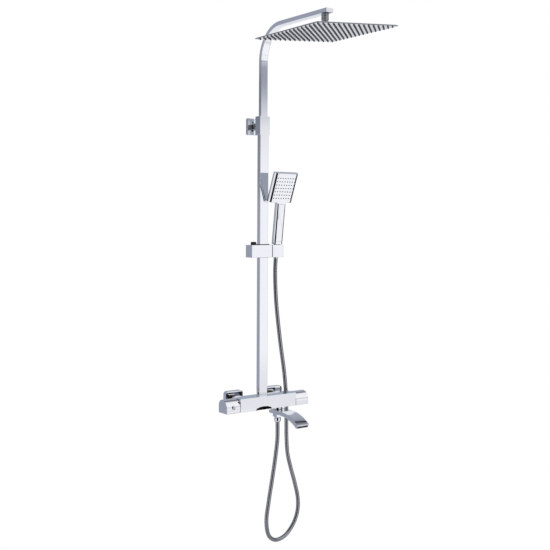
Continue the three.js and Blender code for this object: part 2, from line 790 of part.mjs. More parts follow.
const slider = group(shower, 0, columnY, sliderHeight);
const tall = sliderTall / 2;
const deep = sliderDepth / 2;
const bushOutline = plate(lowerWidth + 2 * (fit + bushWall), lowerDepth + 2 * (fit + bushWall), 2);
const bushSeat = plate(
  lowerWidth + 2 * (2 * fit + bushWall),
  lowerDepth + 2 * (2 * fit + bushWall),
  2,
);
const runningFit = plate(lowerWidth + 2 * fit, lowerDepth + 2 * fit, tubeEdge);
const press = { u: pressOffset, v: 0 };
const pressFloor = tall - pressInside - springLength - 2 * fit;
const bushSide = lowerWidth / 2 + 2 * fit + bushWall;
const stop = { u: (bushSide + sliderRight) / 2, v: 0, sides: 16 };
const sliderMiddle = (sliderRight - sliderLeft) / 2;
const sliderFace = plate(sliderLeft + sliderRight, sliderTall, sliderEdge);
add(slider, 'slider_block', cut(
  prism(sliderFace, 'y', -deep, deep, 1).translate(sliderMiddle, 0, 0),
  prism(bushSeat, 'z', -tall - 1, tall + 1, 1),
  rod('z', pressFloor, tall + 1, pressRadius + fit, press),
  rod('z', tall - stopInside, tall + 1, stopStemRadius + fit, stop),
  rod('x', lowerWidth / 2, sliderRight + 1, axleRadius + fit),
), chrome);

add(slider, 'slider_bush', cut(
  prism(bushOutline, 'z', -tall - bushFootProud, tall + bushTopProud, 1),
  prism(runningFit, 'z', -tall - bushFootProud - 1, tall + bushTopProud + 1, 1),
), blackPlastic);

add(slider, 'slider_button', solid(
  rod('z', tall - pressInside, tall + pressProud, pressRadius, press),
), blackPlastic);

add(slider, 'slider_stop', join(
  rod('z', tall + fit, tall + stopProud, stopRadius, stop),
  rod('z', tall - stopInside + fit, tall + 1, stopStemRadius, stop),
), steel);

class Helix extends THREE.Curve {
  constructor(radius, height, turns) {
    super();
    Object.assign(this, { radius, height, turns });
  }

  getPoint(t, target = new THREE.Vector3()) {
    const angle = 2 * Math.PI * this.turns * t;
    return target.set(
      this.radius * Math.cos(angle),
      this.radius * Math.sin(angle),
      this.height * t,
    );
  }
}

// A round section with flat sides, for pieces swept along a path.
function roundSection(radius, sides) {
  const points = [];
  for (let i = 0; i < sides; i += 1) {
    const angle = 2 * Math.PI * i / sides;
    points.push([radius * Math.cos(angle), radius * Math.sin(angle)]);
  }
  return polygon(points);
}

const coilHeight = springLength - 2 * springWire;
const coil = new THREE.ExtrudeGeometry(roundSection(springWire, 6), {
  steps: springTurns * 10,
  extrudePath: new Helix(springRadius, coilHeight, springTurns),
});
coil.translate(pressOffset, 0, pressFloor + fit + springWire);
add(slider, 'slider_spring', solid(coil), steel);

const axleStart = bushSide + fit;
add(slider, 'holder_axle', solid(rod('x', axleStart, holderLeft + axleReach, axleRadius)), steel);
add(slider, 'holder_washer', cut(
  prism(plate(sliderDepth - 1, sliderTall - 1, 3), 'x', sliderRight + fit, sliderRight + fit + washerThickness),
  rod('x', sliderRight, sliderRight + 5, axleRadius + fit),
), blackPlastic);

// ---------------------------------------------------------------------------
// Holder with a tapered, side-slotted socket
// ---------------------------------------------------------------------------

const lean = THREE.MathUtils.degToRad(handsetLean);
const inSocket = new THREE.Matrix4().makeRotationX(lean).setPosition(handsetOffset, -handsetForward, 0);
const socketReach = tall + 8;
const holderMiddle = (holderLeft + holderRight) / 2;
add(slider, 'holder_block', cut(
  prism(plate(holderWidth, sliderTall, sliderEdge), 'y', -deep, deep, 1).translate(holderMiddle, 0, 0),
  rod('z', -socketReach, socketReach, socketRadius(-socketReach), {
    endRadius: socketRadius(socketReach),
  }).applyMatrix4(inSocket),
  block(0, holderWidth, -socketSlot / 2, socketSlot / 2, -socketReach, socketReach)
    .applyMatrix4(inSocket),
  rod('x', holderLeft - 1, holderLeft + axleReach + fit, axleRadius + fit),
), chrome);

// ---------------------------------------------------------------------------
// Hand shower, drawn upright about its socket axis and leaned forward as a group
// ---------------------------------------------------------------------------

const handset = group(slider, handsetOffset, -handsetForward, 0);
handset.rotation.x = lean;

const coneRadius = (z) => socketRadius(z) - fit;
add(handset, 'hose_cone', cut(
  rod('z', coneBottom, coneTop, coneRadius(coneBottom), { endRadius: coneRadius(coneTop) }),
  rod('z', coneBottom - 1, coneTop + 1, coneBore, { sides: 12 }),
), chrome);

const handleOutline = plate(handleWidth, handleDepth, handleEdge);
add(handset, 'handset_collar', cut(
  prism(handleOutline, 'z', handleFoot, gripTop, 4),
  rod('z', handleFoot - 1, gripTop + 1, handleBore, { sides: 16 }),
), chrome);

const headFoot = handleFoot + sprayRise;
const headFront = -handleDepth / 2 + sprayBack;
const inSpray = new THREE.Matrix4()
  .makeRotationX(THREE.MathUtils.degToRad(sprayTilt))
  .setPosition(0, headFront, headFoot);
const sprayHalf = sprayWidth / 2;
const handleTopSide = [
  [-handleDepth / 2, gripTop + 10],
  [handleDepth / 2, gripTop + 10],
  [handleDepth / 2, headFoot + 3],
  [headFront + 2, headFoot + sprayBack + 6],
  [-handleDepth / 2 + 1, headFoot + sprayBack + 2],
  [-handleDepth / 2, headFoot + sprayBack],
];
const handleTop = solid(prism(polygon(handleTopSide), 'x', -handleWidth / 2, handleWidth / 2))
  .intersect(solid(prism(handleOutline, 'z', gripTop, headFoot + sprayHeight, 4)));
const sprayOutline = plate(
  sprayWidth,
  sprayDepth,
  sprayBackRadius,
  spraySideRadius,
  sprayBackRadius,
);
const sprayShell = join(
  prism(handleOutline, 'z', gripTop + fit, gripTop + 12, 4),
  prism(sprayOutline, 'z', 0, sprayHeight, 6)
    .translate(0, sprayDepth / 2, 0)
    .applyMatrix4(inSpray),
).add(handleTop);
const rimHalf = sprayHalf - spraySideRim;
const rimTop = sprayHeight - sprayRim;
const pocketCut = block(-rimHalf, rimHalf, -20, sprayPocket, sprayRim, rimTop);
const handleGuard = block(-handleWidth / 2, handleWidth / 2, -20, 0, -20, 12);
const pocket = solid(pocketCut).subtract(solid(handleGuard));
const pocketWorld = solid(geometryOf(pocket).applyMatrix4(inSpray));
const waterway = rod('z', gripTop - 1, headFoot + 12, handleBore, { sides: 16 });
add(handset, 'handset_body', sprayShell.subtract(pocketWorld).subtract(solid(waterway)), chrome);

function sprayPlate(front0, back0) {
  return solid(
    block(-rimHalf + fit, rimHalf - fit, front0, back0, sprayRim + fit, rimTop - fit)
      .applyMatrix4(inSpray),
  );
}
const sprayGuard = solid(
  block(-handleWidth / 2 - fit, handleWidth / 2 + fit, -20, sprayDepth, -20, 12 + fit)
    .applyMatrix4(inSpray),
);
add(handset, 'handset_face', sprayPlate(0, sprayFace).subtract(sprayGuard), chrome);
add(handset, 'handset_mat', sprayPlate(sprayFace + fit, sprayFace + fit + sprayMat)
  .subtract(sprayGuard), greyRubber);

// ---------------------------------------------------------------------------
// Hose: from the outlet nut down round its loop, up behind the bar and to the cone
// ---------------------------------------------------------------------------

const nut = group(mixer, outletOffset, 0, collarFootZ - fit);
add(nut, 'hose_nut', cut(
  turned([
    [0, -hoseNutLength],
    [hoseNutWaist, -hoseNutLength],
    [hoseNutRadius, -hoseNutLength * 0.68],
    [hoseNutRadius, -hoseNutLength * 0.32],
    [hoseNutWaist, 0],
    [0, 0],
  ], 12),
  rod('z', -outletNippleLength - fit, 1, outletNippleRadius + fit),
  rod('z', -hoseNutLength - 1, 0, hoseNutBore, { sides: 12 }),
), chrome);

const hoseStart = new THREE.Vector3(
  outletOffset,
  barY,
  collarFootZ - fit - hoseNutLength - fit,
);
const hoseEnd = new THREE.Vector3(0, 0, coneBottom - fit)
  .applyMatrix4(inSocket)
  .add(new THREE.Vector3(0, columnY, sliderHeight));
const hoseMiddle = [
  [49.4, -71.4, -124],
  [42.4, -70.4, -184],
  [32.3, -68, -253],
  [22.5, -64.5, -320],
  [17, -60, -386],
  [29.6, -56, -434],
  [57, -52, -454],
  [99, -46, -450],
  [135, -42, -420],
  [155, -38, -383],
  [160, -34, -344],
  [150, -30, -290],
  [134, -28, -236],
  [123, -26, -190],
  [119, -25, -136],
  [118.5, -24.5, -87],
  [118, -24.5, -25],
  [113.4, -25, 33],
  [105.2, -28, 83],
  [83, -36, 183],
  [59.5, -46, 313],
  [51.2, -52, 405],
];
const hoseLine = new THREE.CatmullRomCurve3(
  [hoseStart, ...hoseMiddle.map((p) => new THREE.Vector3(...p)), hoseEnd],
  false,
  'centripetal',
);
hoseLine.arcLengthDivisions = 800;

class Stretch extends THREE.Curve {
  constructor(whole, from, to) {
    super();
    Object.assign(this, { whole, from, to });
  }

  getPoint(t, target = new THREE.Vector3()) {
    return this.whole.getPointAt(this.from + (this.to - this.from) * t, target);
  }
}

// Share of the hose's length at which it climbs past a height, behind the bar.
function climbsPast(height) {
  let low = 0.5;
  let high = 1;
  for (let i = 0; i < 40; i += 1) {
    const middle = (low + high) / 2;
    if (hoseLine.getPointAt(middle).z < height) {
      low = middle;
    } else {
      high = middle;
    }
  }
  return low;
}

const hoseLength = hoseLine.getLength();
const split = climbsPast(hoseSplit);
const splitGap = fit / hoseLength;
function hose(from, to) {
  const steps = Math.round((to - from) * hoseLength / (5 * hoseRadius));
  return new THREE.ExtrudeGeometry(roundSection(hoseRadius, 10), {
    steps,
    extrudePath: new Stretch(hoseLine, from, to),
  });
}
add(shower, 'hose_loop', solid(hose(0, split)), steel);
add(shower, 'hose_rise', solid(hose(split + splitGap, 1)), steel);

export default shower;
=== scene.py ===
"""Wall-mounted rainfall shower column in polished chrome.

A two-inlet mixer bar with end knobs and a waterfall spout, a telescopic square riser with a
square rain head on a ball joint, and a sliding holder with a hand shower on a spiral hose.
Sizes are in millimetres until a mesh is made; the wall is the plane y = 0, the user stands on
the -Y side, and the origin lies on the wall midway between the two water inlets.
"""

import json
import math

import bmesh
import bpy
import numpy as np
from mathutils import Matrix, Vector


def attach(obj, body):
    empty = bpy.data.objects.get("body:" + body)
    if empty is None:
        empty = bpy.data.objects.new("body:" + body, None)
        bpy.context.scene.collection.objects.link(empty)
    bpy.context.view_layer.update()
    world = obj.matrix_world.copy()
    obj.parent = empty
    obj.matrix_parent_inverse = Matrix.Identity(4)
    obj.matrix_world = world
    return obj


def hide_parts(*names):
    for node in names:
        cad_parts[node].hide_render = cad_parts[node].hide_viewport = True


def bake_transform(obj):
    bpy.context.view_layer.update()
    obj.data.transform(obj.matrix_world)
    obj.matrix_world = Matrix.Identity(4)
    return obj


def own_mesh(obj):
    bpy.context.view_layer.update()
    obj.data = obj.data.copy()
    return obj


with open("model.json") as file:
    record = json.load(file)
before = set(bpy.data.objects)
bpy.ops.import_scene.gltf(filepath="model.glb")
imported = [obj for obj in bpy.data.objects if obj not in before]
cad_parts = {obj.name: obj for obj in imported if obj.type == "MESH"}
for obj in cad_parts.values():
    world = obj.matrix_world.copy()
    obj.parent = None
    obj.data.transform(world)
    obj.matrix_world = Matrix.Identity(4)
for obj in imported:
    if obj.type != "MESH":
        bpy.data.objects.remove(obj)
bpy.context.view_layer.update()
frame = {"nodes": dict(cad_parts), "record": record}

MM = 0.001
GAP = 0.3  # gap between pieces that touch
INLETS = {"left": -75, "right": 75}
BAR_Y = -71  # middle of the mixer bar
BAR_DEPTH, BAR_HEIGHT, BAR_END = 46, 41, 104
COLUMN_Y = -56  # middle of the column's tubes
SLIDER_Z = 465.75  # middle of the slider and its holder
BLOCK_TOP = 19.25  # half the height of both


def placed(name, data):
    """A new object in the scene."""
    obj = bpy.data.objects.new(name, data)
    bpy.context.scene.collection.objects.link(obj)
    return obj


def moving(place, angle=0, axis="X"):
    """A turn of angle degrees, then a move to a place in millimetres."""
    turn = Matrix.Rotation(math.radians(angle), 4, axis)
    return Matrix.Translation(Vector(place) * MM) @ turn


# ---- Camera ----

def aim_camera(place, yaw, pitch, roll, lens):
    """A camera that looks yaw degrees to the right of +Y and pitch degrees up."""
    yaw, pitch, roll = (math.radians(angle) for angle in (yaw, pitch, roll))
    reach = math.cos(pitch)
    ahead = Vector((math.sin(yaw) * reach, math.cos(yaw) * reach, math.sin(pitch)))
    level = Vector((math.cos(yaw), -math.sin(yaw), 0))
    upward = level.cross(ahead)
    right = level * math.cos(roll) + upward * math.sin(roll)
    up = upward * math.cos(roll) - level * math.sin(roll)
    camera = placed("camera", bpy.data.cameras.new("camera"))
    camera.data.lens = lens
    camera.data.sensor_width = 36
    camera.data.clip_end = 50
    turn = Matrix((right, up, -ahead)).transposed().to_4x4()
    camera.matrix_world = Matrix.Translation(Vector(place)) @ turn
    bpy.context.scene.camera = camera


aim_camera((-1.6603, -2.4421, 0.5570), yaw=35.60, pitch=-3.25, roll=0.31, lens=61.63)


# ---- Materials ----

def paint(code):
    """An sRGB hex colour as the linear colour that the shaders take."""
    values = [int(code[i:i + 2], 16) / 255 for i in (0, 2, 4)]
    linear = [v / 12.92 if v <= 0.04045 else ((v + 0.055) / 1.055) ** 2.4 for v in values]
    return (*linear, 1.0)


def per_mm(size):
    """Texture scale that makes one feature about this many millimetres across."""
    return 1000 / size


LOW, HIGH, BLENDED = 6, 7, 2  # sockets of a Mix node that blends colours


def node(tree, kind, inputs=None, **settings):
    """Adds one shader node, sets it up, and links or fills its inputs."""
    made = tree.nodes.new("ShaderNode" + kind)
    for name, value in settings.items():
        setattr(made, name, value)
    for name, value in (inputs or {}).items():
        if isinstance(value, bpy.types.NodeSocket):
            tree.links.new(value, made.inputs[name])
        else:
            made.inputs[name].default_value = value
    return made


def start_material(name, **inputs):
    """A material with one Principled shader; inputs are set on its own sockets."""
    material = bpy.data.materials.new(name)
    material.use_nodes = True
    tree = material.node_tree
    tree.nodes.clear()
    shader = node(tree, "BsdfPrincipled")
    for socket, value in inputs.items():
        shader.inputs[socket.replace("_", " ")].default_value = value
    node(tree, "OutputMaterial", {"Surface": shader.outputs["BSDF"]})
    spot = node(tree, "TexCoord").outputs["Object"]
    return material, tree, shader, spot


def dress(tree, shader, pattern, tones=None, rough=None, over=(0, 1), relief=None):
    """Lets a pattern drive a surface's colour between two tones, its roughness over a part
    of the pattern's range, and its relief, given as strength and depth in metres."""
    if tones:
        colour = node(tree, "Mix", {
            "Factor": pattern, LOW: tones[0], HIGH: tones[1],
        }, data_type="RGBA")
        tree.links.new(colour.outputs[BLENDED], shader.inputs["Base Color"])
    if rough:
        spread = node(tree, "MapRange", {
            "Value": pattern, "From Min": over[0], "From Max": over[1],
            "To Min": rough[0], "To Max": rough[1],
        })
        tree.links.new(spread.outputs["Result"], shader.inputs["Roughness"])
    if relief:
        bump = node(tree, "Bump", {
            "Height": pattern, "Strength": relief[0], "Distance": relief[1],
        })
        tree.links.new(bump.outputs["Normal"], shader.inputs["Normal"])


def grained(name, size, detail, low, high, rough=None, over=(0, 1), relief=None, **uniform):
    """A material whose colour, roughness and relief follow one noise, size millimetres
    across; what is the same all over is given by its socket's name."""
    material, tree, shader, spot = start_material(name, **uniform)
    grain = node(tree, "TexNoise", {"Vector": spot, "Scale": per_mm(size), "Detail": detail})
    tones = (paint(low), paint(high))
    dress(tree, shader, grain.outputs["Fac"], tones, rough, over, relief)
    return material


BUFFED = (paint("E7E8EA"), paint("EDEEF0"))
MIDDLE = (0.3, 0.7)  # the part of a noise's range that it mostly stays in


def start_buffed_chrome(name):
    # What buffing leaves in the plate: a very faint haze in patches, and a long, shallow
    # waviness that bends straight reflections slightly.
    material, tree, shader, spot = start_material(name, Metallic=1.0)
    haze = node(tree, "TexNoise", {"Vector": spot, "Scale": per_mm(22), "Detail": 4.0})
    wave = node(tree, "TexNoise", {"Vector": spot, "Scale": per_mm(35), "Detail": 1.0})
    dress(tree, shader, wave.outputs["Fac"], relief=(0.15, 0.00006))
    return material, tree, shader, spot, haze.outputs["Fac"]


def chrome_plate_on_brass():
    # Bright chromium over buffed brass: a cool mirror.
    material, tree, shader, spot, haze = start_buffed_chrome("chrome_plate_on_brass")
    dress(tree, shader, haze, BUFFED, (0.02, 0.05), MIDDLE)
    return material


def chrome_plate_painted_back_shade():
    # The same plate with painted shade on the side towards the wall: it is coloured dark
    # grey, in patches, and made rougher, standing in for the shade between the bar and the wall.
    material, tree, shader, spot, haze = start_buffed_chrome("chrome_plate_painted_back_shade")
    facing = node(tree, "SeparateXYZ", {"Vector": node(tree, "TexCoord").outputs["Normal"]})
    back = node(tree, "MapRange", {
        "Value": facing.outputs["Y"], "From Min": 0.9, "From Max": 0.97,
    }).outputs["Result"]
    back_shade_noise = node(tree, "TexNoise", {"Vector": spot, "Scale": per_mm(11), "Detail": 2.0})
    back_shade_patches = node(tree, "MapRange", {
        "Value": back_shade_noise.outputs["Fac"], "From Min": 0.44, "From Max": 0.6,
    })
    bright = node(tree, "Mix", {
        "Factor": haze, LOW: BUFFED[0], HIGH: BUFFED[1],
    }, data_type="RGBA")
    dark = node(tree, "Mix", {
        "Factor": back_shade_patches.outputs["Result"], LOW: paint("202126"), HIGH: paint("7E818A"),
    }, data_type="RGBA")
    # Painted shade: faces towards the wall are blended to the dark grey patches.
    dress(tree, shader, back, (bright.outputs[BLENDED], dark.outputs[BLENDED]), (0.035, 0.25))
    return material


def chrome_plate_on_steel():
    # Chromium over drawn stainless tube: the mirror carries faint lines along the tube,
    # left by the die and the belt, and a slow ripple across them.
    material, tree, shader, spot = start_material("chrome_plate_on_drawn_steel", Metallic=1.0)
    stretched = node(tree, "Mapping", {"Vector": spot, "Scale": (1.0, 1.0, 0.02)})
    lines = node(tree, "TexNoise", {
        "Vector": stretched.outputs["Vector"], "Scale": per_mm(0.8), "Detail": 3.0,
    })
    ripple = node(tree, "TexNoise", {"Vector": spot, "Scale": per_mm(60), "Detail": 1.0})
    dress(tree, shader, lines.outputs["Fac"], (paint("E6E7E9"), paint("EDEEF0")),
          (0.025, 0.055), MIDDLE)
    dress(tree, shader, ripple.outputs["Fac"], relief=(0.12, 0.00008))
    return material


def chrome_plate_on_abs():
    # Chromium over injection-moulded ABS: as bright as on metal but a shade darker, and
    # the moulding shows as a fine orange peel a few millimetres across.
    return grained("chrome_plate_on_moulded_abs", 5, 2, "E5E6E8", "ECEDEF",
                   rough=(0.03, 0.07), over=MIDDLE, relief=(0.2, 0.00002), Metallic=1)


def mirror_stainless():
    # Mirror-polished 304 sheet: slightly warmer and softer than chromium, with the last
    # fine scratches of the polishing belt all running one way. Its sheared edge is dull, and
    # it is coloured dark grey as painted shade along the rim.
    material, tree, shader, spot = start_material("mirror_polished_stainless", Metallic=1.0)
    belt = node(tree, "Mapping", {"Vector": spot, "Scale": (0.03, 1.0, 1.0)})
    scratch = node(tree, "TexNoise", {
        "Vector": belt.outputs["Vector"], "Scale": per_mm(0.7), "Detail": 4.0,
    })
    facing = node(tree, "SeparateXYZ", {"Vector": node(tree, "TexCoord").outputs["Normal"]})
    upright = node(tree, "Math", {0: facing.outputs["Z"]}, operation="ABSOLUTE")
    edge = node(tree, "MapRange", {
        "Value": upright.outputs["Value"], "From Min": 0.55, "From Max": 0.35,
    }).outputs["Result"]
    polished = node(tree, "Mix", {
        "Factor": scratch.outputs["Fac"], LOW: paint("D4D5D7"), HIGH: paint("DEDFE0"),
    }, data_type="RGBA")
    # Painted shade: upright faces, the rim's sides, are blended to dark grey.
    dress(tree, shader, edge, (polished.outputs[BLENDED], paint("63645F")), (0.09, 0.4))
    dress(tree, shader, scratch.outputs["Fac"], relief=(0.1, 0.00001))
    return material


def satin_stainless(name, smooth, dull):
    # Turned and tumbled stainless steel: satin grey, with the fine grain that the tumbling
    # stones leave.
    return grained(name, 0.6, 5, "A4A6A9", "B8BABC", rough=(smooth, dull),
                   relief=(0.2, 0.00001), Metallic=1)


def spiral_strip():
    # Double-lock stainless strip, rolled into a hose and polished: bright crowns, and
    # grease and painted shadow, near black, in the seams between the turns.
    material, tree, shader, spot = start_material("double_lock_stainless_strip", Metallic=1.0)
    turn = node(tree, "Attribute", attribute_name="turn_height", attribute_type="GEOMETRY")
    patch = node(tree, "TexNoise", {"Vector": spot, "Scale": per_mm(9), "Detail": 3.0})
    crown = node(tree, "Mix", {
        "Factor": patch.outputs["Fac"], LOW: paint("9FA0A4"), HIGH: paint("AEAFB2"),
    }, data_type="RGBA")
    # Painted shadow: the seams between the turns are coloured near black.
    dress(tree, shader, turn.outputs["Fac"], (paint("17181A"), crown.outputs[BLENDED]),
          (0.35, 0.05))
    return material


def machined_brass():
    # Free-cutting brass from the lathe, gone brown with age and thread sealant in patches.
    return grained("machined_brass", 6, 5, "4A3B22", "7C6539", rough=(0.24, 0.42), Metallic=1)


def black_abs():
    # Moulded black ABS: soft sheen over a spark-eroded grain of about half a millimetre.
    return grained("moulded_black_abs", 0.5, 3, "0C0D0E", "1D1E20", rough=(0.38, 0.55),
                   relief=(0.4, 0.00004), IOR=1.5)


def black_foam_rubber():
    # Skinned EPDM foam: soot black and quite matt, with pores of a third of a millimetre.
    return grained("skinned_black_epdm", 0.35, 3, "050506", "0E0E10",
                   relief=(0.5, 0.00005), IOR=1.4, Roughness=0.85, Specular_IOR_Level=0.15)


def white_acetal():
    # Machined acetal: milky white with a waxy surface.
    return grained("machined_white_acetal", 3, 3, "DEDEDA", "F0F0EC", rough=(0.3, 0.45),
                   IOR=1.48)


def moulded_silicone(name, deep, bloomed):
    # Moulded silicone rubber: dark, matt, with a powdery bloom in patches.
    return grained(name, 2, 4, deep, bloomed, rough=(0.5, 0.7), IOR=1.41)


brass_chrome = chrome_plate_on_brass()
casting = chrome_plate_painted_back_shade()
steel_chrome = chrome_plate_on_steel()
abs_chrome = chrome_plate_on_abs()
sheet = mirror_stainless()
satin = satin_stainless("satin_turned_stainless", 0.22, 0.38)
blasted = satin_stainless("bead_blasted_stainless", 0.45, 0.6)
strip = spiral_strip()
brass = machined_brass()
black = black_abs()
rubber = black_foam_rubber()
acetal = white_acetal()
silicone = moulded_silicone("moulded_grey_silicone", "5A5957", "7A7976")
dark_silicone = moulded_silicone("moulded_charcoal_silicone", "060607", "101113")

by_slot = {
    "chromed_brass": brass_chrome,
    "chromed_steel": steel_chrome,
    "chromed_plastic": abs_chrome,
    "raw_brass": brass,
    "stainless": satin,
    "black_plastic": black,
    "white_plastic": acetal,
    "grey_silicone": silicone,
    "spiral_hose": strip,
}
for part in frame["record"]["subparts"]:
    solid = frame["nodes"][part["node"]]
    solid.data.materials.clear()
    solid.data.materials.append(by_slot[part["material_slot"]])


# ---- Mesh making ----

def from_bmesh(shape):
    """A new object from a bmesh in millimetres."""
    bmesh.ops.remove_doubles(shape, verts=shape.verts, dist=1e-4)
    bmesh.ops.recalc_face_normals(shape, faces=shape.faces)
    bmesh.ops.scale(shape, vec=(MM, MM, MM), verts=shape.verts)
    mesh = bpy.data.meshes.new("shape")
    shape.to_mesh(mesh)
    shape.free()
    return placed("shape", mesh)


def arc(centre, radius, angles):
    """Points on a circle at angles in degrees."""
    return [(centre[0] + radius * math.cos(math.radians(a)),
             centre[1] + radius * math.sin(math.radians(a))) for a in angles]


def rectangle(width, height, corner, low_corner=None, left_corner=None, steps=6):
    """Points of a rounded rectangle about the origin, anticlockwise from the right side."""
    low = corner if low_corner is None else low_corner
    left = corner if left_corner is None else left_corner
    w, h = width / 2, height / 2
    points = []
    for cx, cy, r, start in (
        (w - corner, h - corner, corner, 0),
        (-w + left, h - left, left, 90),
        (-w + low, -h + low, low, 180),
        (w - low, -h + low, low, 270),
    ):
        points += arc((cx, cy), r, [start + 90 * i / steps for i in range(steps + 1)])
    return points


def circle(radius, sides=48, centre=(0, 0)):
    """Points round a circle, anticlockwise."""
    return [
        (centre[0] + radius * math.cos(2 * math.pi * i / sides),
         centre[1] + radius * math.sin(2 * math.pi * i / sides))
        for i in range(sides)
    ]


def lift(axis, u, v, w):
    """The point at (u, v) on an outline and w along the axis it is pushed along."""
    return {"x": (w, u, v), "y": (u, w, v), "z": (u, v, w)}[axis]


def bridge(shape, low, high):
    """Faces between two rings with the same number of points."""
    for i in range(len(low)):
        j = (i + 1) % len(low)
        shape.faces.new((low[i], low[j], high[j], high[i]))


def prism(outline, axis, start, end, inner=None):
    """An outline pushed along an axis; an inner outline of as many points makes a tube."""
    shape = bmesh.new()
    loops = []
    for points in [outline] + ([inner] if inner else []):
        ends = [[shape.verts.new(lift(axis, u, v, w)) for u, v in points] for w in (start, end)]
        loops.append(ends)
        bridge(shape, *ends)
    for k in (0, 1):
        if inner:
            bridge(shape, loops[0][k], loops[1][k])
        else:
            shape.faces.new(loops[0][k])
    return from_bmesh(shape)


def add_skin(shape, rings):
    """A closed surface through a row of rings with the same number of points."""
    rows = [[shape.verts.new(point) for point in ring] for ring in rings]
    for low, high in zip(rows, rows[1:]):
        bridge(shape, low, high)
    shape.faces.new(rows[0])
    shape.faces.new(rows[-1])


def skinned(rings):
    shape = bmesh.new()
    add_skin(shape, rings)
    return from_bmesh(shape)


def turned(profile, axis="z", at=(0, 0), sides=64, ring=False):
    """A profile of (radius, distance) pairs turned about an axis; ring closes it on itself."""
    shape = bmesh.new()
    rows = []
    for radius, distance in profile:
        if radius < 1e-6:
            rows.append([shape.verts.new(lift(axis, *at, distance))])
        else:
            rows.append([shape.verts.new(lift(axis, u, v, distance))
                         for u, v in circle(radius, sides, at)])
    for low, high in zip(rows, rows[1:] + ([rows[0]] if ring else [])):
        for i in range(sides):
            j = (i + 1) % sides
            corners = (low[i % len(low)], low[j % len(low)],
                       high[j % len(high)], high[i % len(high)])
            unique = list(dict.fromkeys(corners))
            if len(unique) > 2:
                shape.faces.new(unique)
    if not ring:
        for row in (rows[0], rows[-1]):
            if len(row) > 2:
                shape.faces.new(row)
    return from_bmesh(shape)


def box(low, high):
    """A plain block between two corners, to be rounded or to cut with."""
    shape = bmesh.new()
    bmesh.ops.create_cube(shape, size=1)
    middle = [(a + b) / 2 for a, b in zip(low, high)]
    size = [b - a for a, b in zip(low, high)]
    bmesh.ops.scale(shape, vec=size, verts=shape.verts)
    bmesh.ops.translate(shape, vec=middle, verts=shape.verts)
    return from_bmesh(shape)


def bake_modifiers(obj):
    """Makes what the modifiers show into the object's own mesh."""
    shown = obj.evaluated_get(bpy.context.evaluated_depsgraph_get())
    mesh = bpy.data.meshes.new_from_object(shown)
    obj.modifiers.clear()
    obj.data = mesh


def soften(obj, width, segments=3, angle=40):
    """Rounds the edges sharper than angle by width millimetres."""
    bevel = obj.modifiers.new("edges", "BEVEL")
    bevel.width = width * MM
    bevel.segments = segments
    bevel.limit_method = "ANGLE"
    bevel.angle_limit = math.radians(angle)
    bake_modifiers(obj)
    return obj


def combine(obj, other, operation):
    """Joins other to obj, cuts it away or keeps what they share, and removes it."""
    change = obj.modifiers.new("shape", "BOOLEAN")
    change.operation = operation
    change.solver = "EXACT"
    change.object = other
    bake_modifiers(obj)
    bpy.data.objects.remove(other)
    return obj


def cut(obj, *tools):
    for tool in tools:
        combine(obj, tool, "DIFFERENCE")
    return obj


def moved(obj, matrix):
    obj.data.transform(matrix)
    return obj


def joined(first, *others):
    """Several closed shells as one object."""
    shape = bmesh.new()
    for part in (first, *others):
        shape.from_mesh(part.data)
    shape.to_mesh(first.data)
    shape.free()
    for part in others:
        bpy.data.objects.remove(part)
    return first


def name_and_coat(obj, name, material):
    """Names an object and its mesh, and gives it one material and smooth faces."""
    obj.name = obj.data.name = name
    obj.data.materials.clear()
    obj.data.materials.append(material)
    obj.data.polygons.foreach_set("use_smooth", [True] * len(obj.data.polygons))
    obj.data.polygons.foreach_set("material_index", [0] * len(obj.data.polygons))


def piece(name, obj, material, body, stands_for=(), sharp=38):
    """Finishes a mesh as a named piece with its material and body, and hides the CAD nodes it
    stands for.
    """
    name_and_coat(obj, name, material)
    obj.data.set_sharp_from_angle(angle=math.radians(sharp))
    weights = obj.modifiers.new("flat faces stay flat", "WEIGHTED_NORMAL")
    weights.keep_sharp = True
    bake_modifiers(obj)
    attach(obj, body)
    if stands_for:
        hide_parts(*stands_for)
    return obj


# ---- Hose: double-lock spiral from the outlet nut to the hand shower ----

OUTLET = (50, BAR_Y)
LEAN = moving((50, -59.4, SLIDER_Z), 7.6)  # the holder's socket and the hand shower

hose_points = [
    (50, -71, -70.0), (49.4, -71.4, -124), (42.4, -70.4, -184), (32.3, -68, -253),
    (22.5, -64.5, -320), (17, -60, -386), (29.6, -56, -434), (57, -52, -454),
    (99, -46, -450), (135, -42, -420), (155, -38, -383), (160, -34, -344),
    (150, -30, -290), (134, -28, -236), (123, -26, -190), (119, -25, -136),
    (118.5, -24.5, -87), (118, -24.5, -25), (113.4, -25, 33), (105.2, -28, 83),
    (83, -36, 183), (59.5, -46, 313), (51.2, -52, 405), (50, -56.398, 443.249),
]


def between(t, start, a, end, b):
    """What lies at t on the way from a, at start, to b, at end."""
    return (end - t) / (end - start) * a + (t - start) / (end - start) * b


def smooth_line(points, per_span=60):
    """Centripetal curve through the points, as a dense array."""
    p = np.array(points, float)
    p = np.vstack([2 * p[0] - p[1], p, 2 * p[-1] - p[-2]])
    line = []
    for a, b, c, d in zip(p, p[1:], p[2:], p[3:]):
        t0, t1 = 0.0, np.linalg.norm(b - a) ** 0.5
        t2 = t1 + np.linalg.norm(c - b) ** 0.5
        t3 = t2 + np.linalg.norm(d - c) ** 0.5
        for t in np.linspace(t1, t2, per_span, endpoint=False):
            bc = between(t, t1, b, t2, c)
            abc = between(t, t0, between(t, t0, a, t1, b), t2, bc)
            bcd = between(t, t1, bc, t3, between(t, t2, c, t3, d))
            line.append(between(t, t1, abc, t2, bcd))
    line.append(p[-2])
    return np.array(line)


hose_line = smooth_line(hose_points)
hose_along = np.concatenate([[0], np.cumsum(np.linalg.norm(np.diff(hose_line, axis=0), axis=1))])
hose_length = float(hose_along[-1])


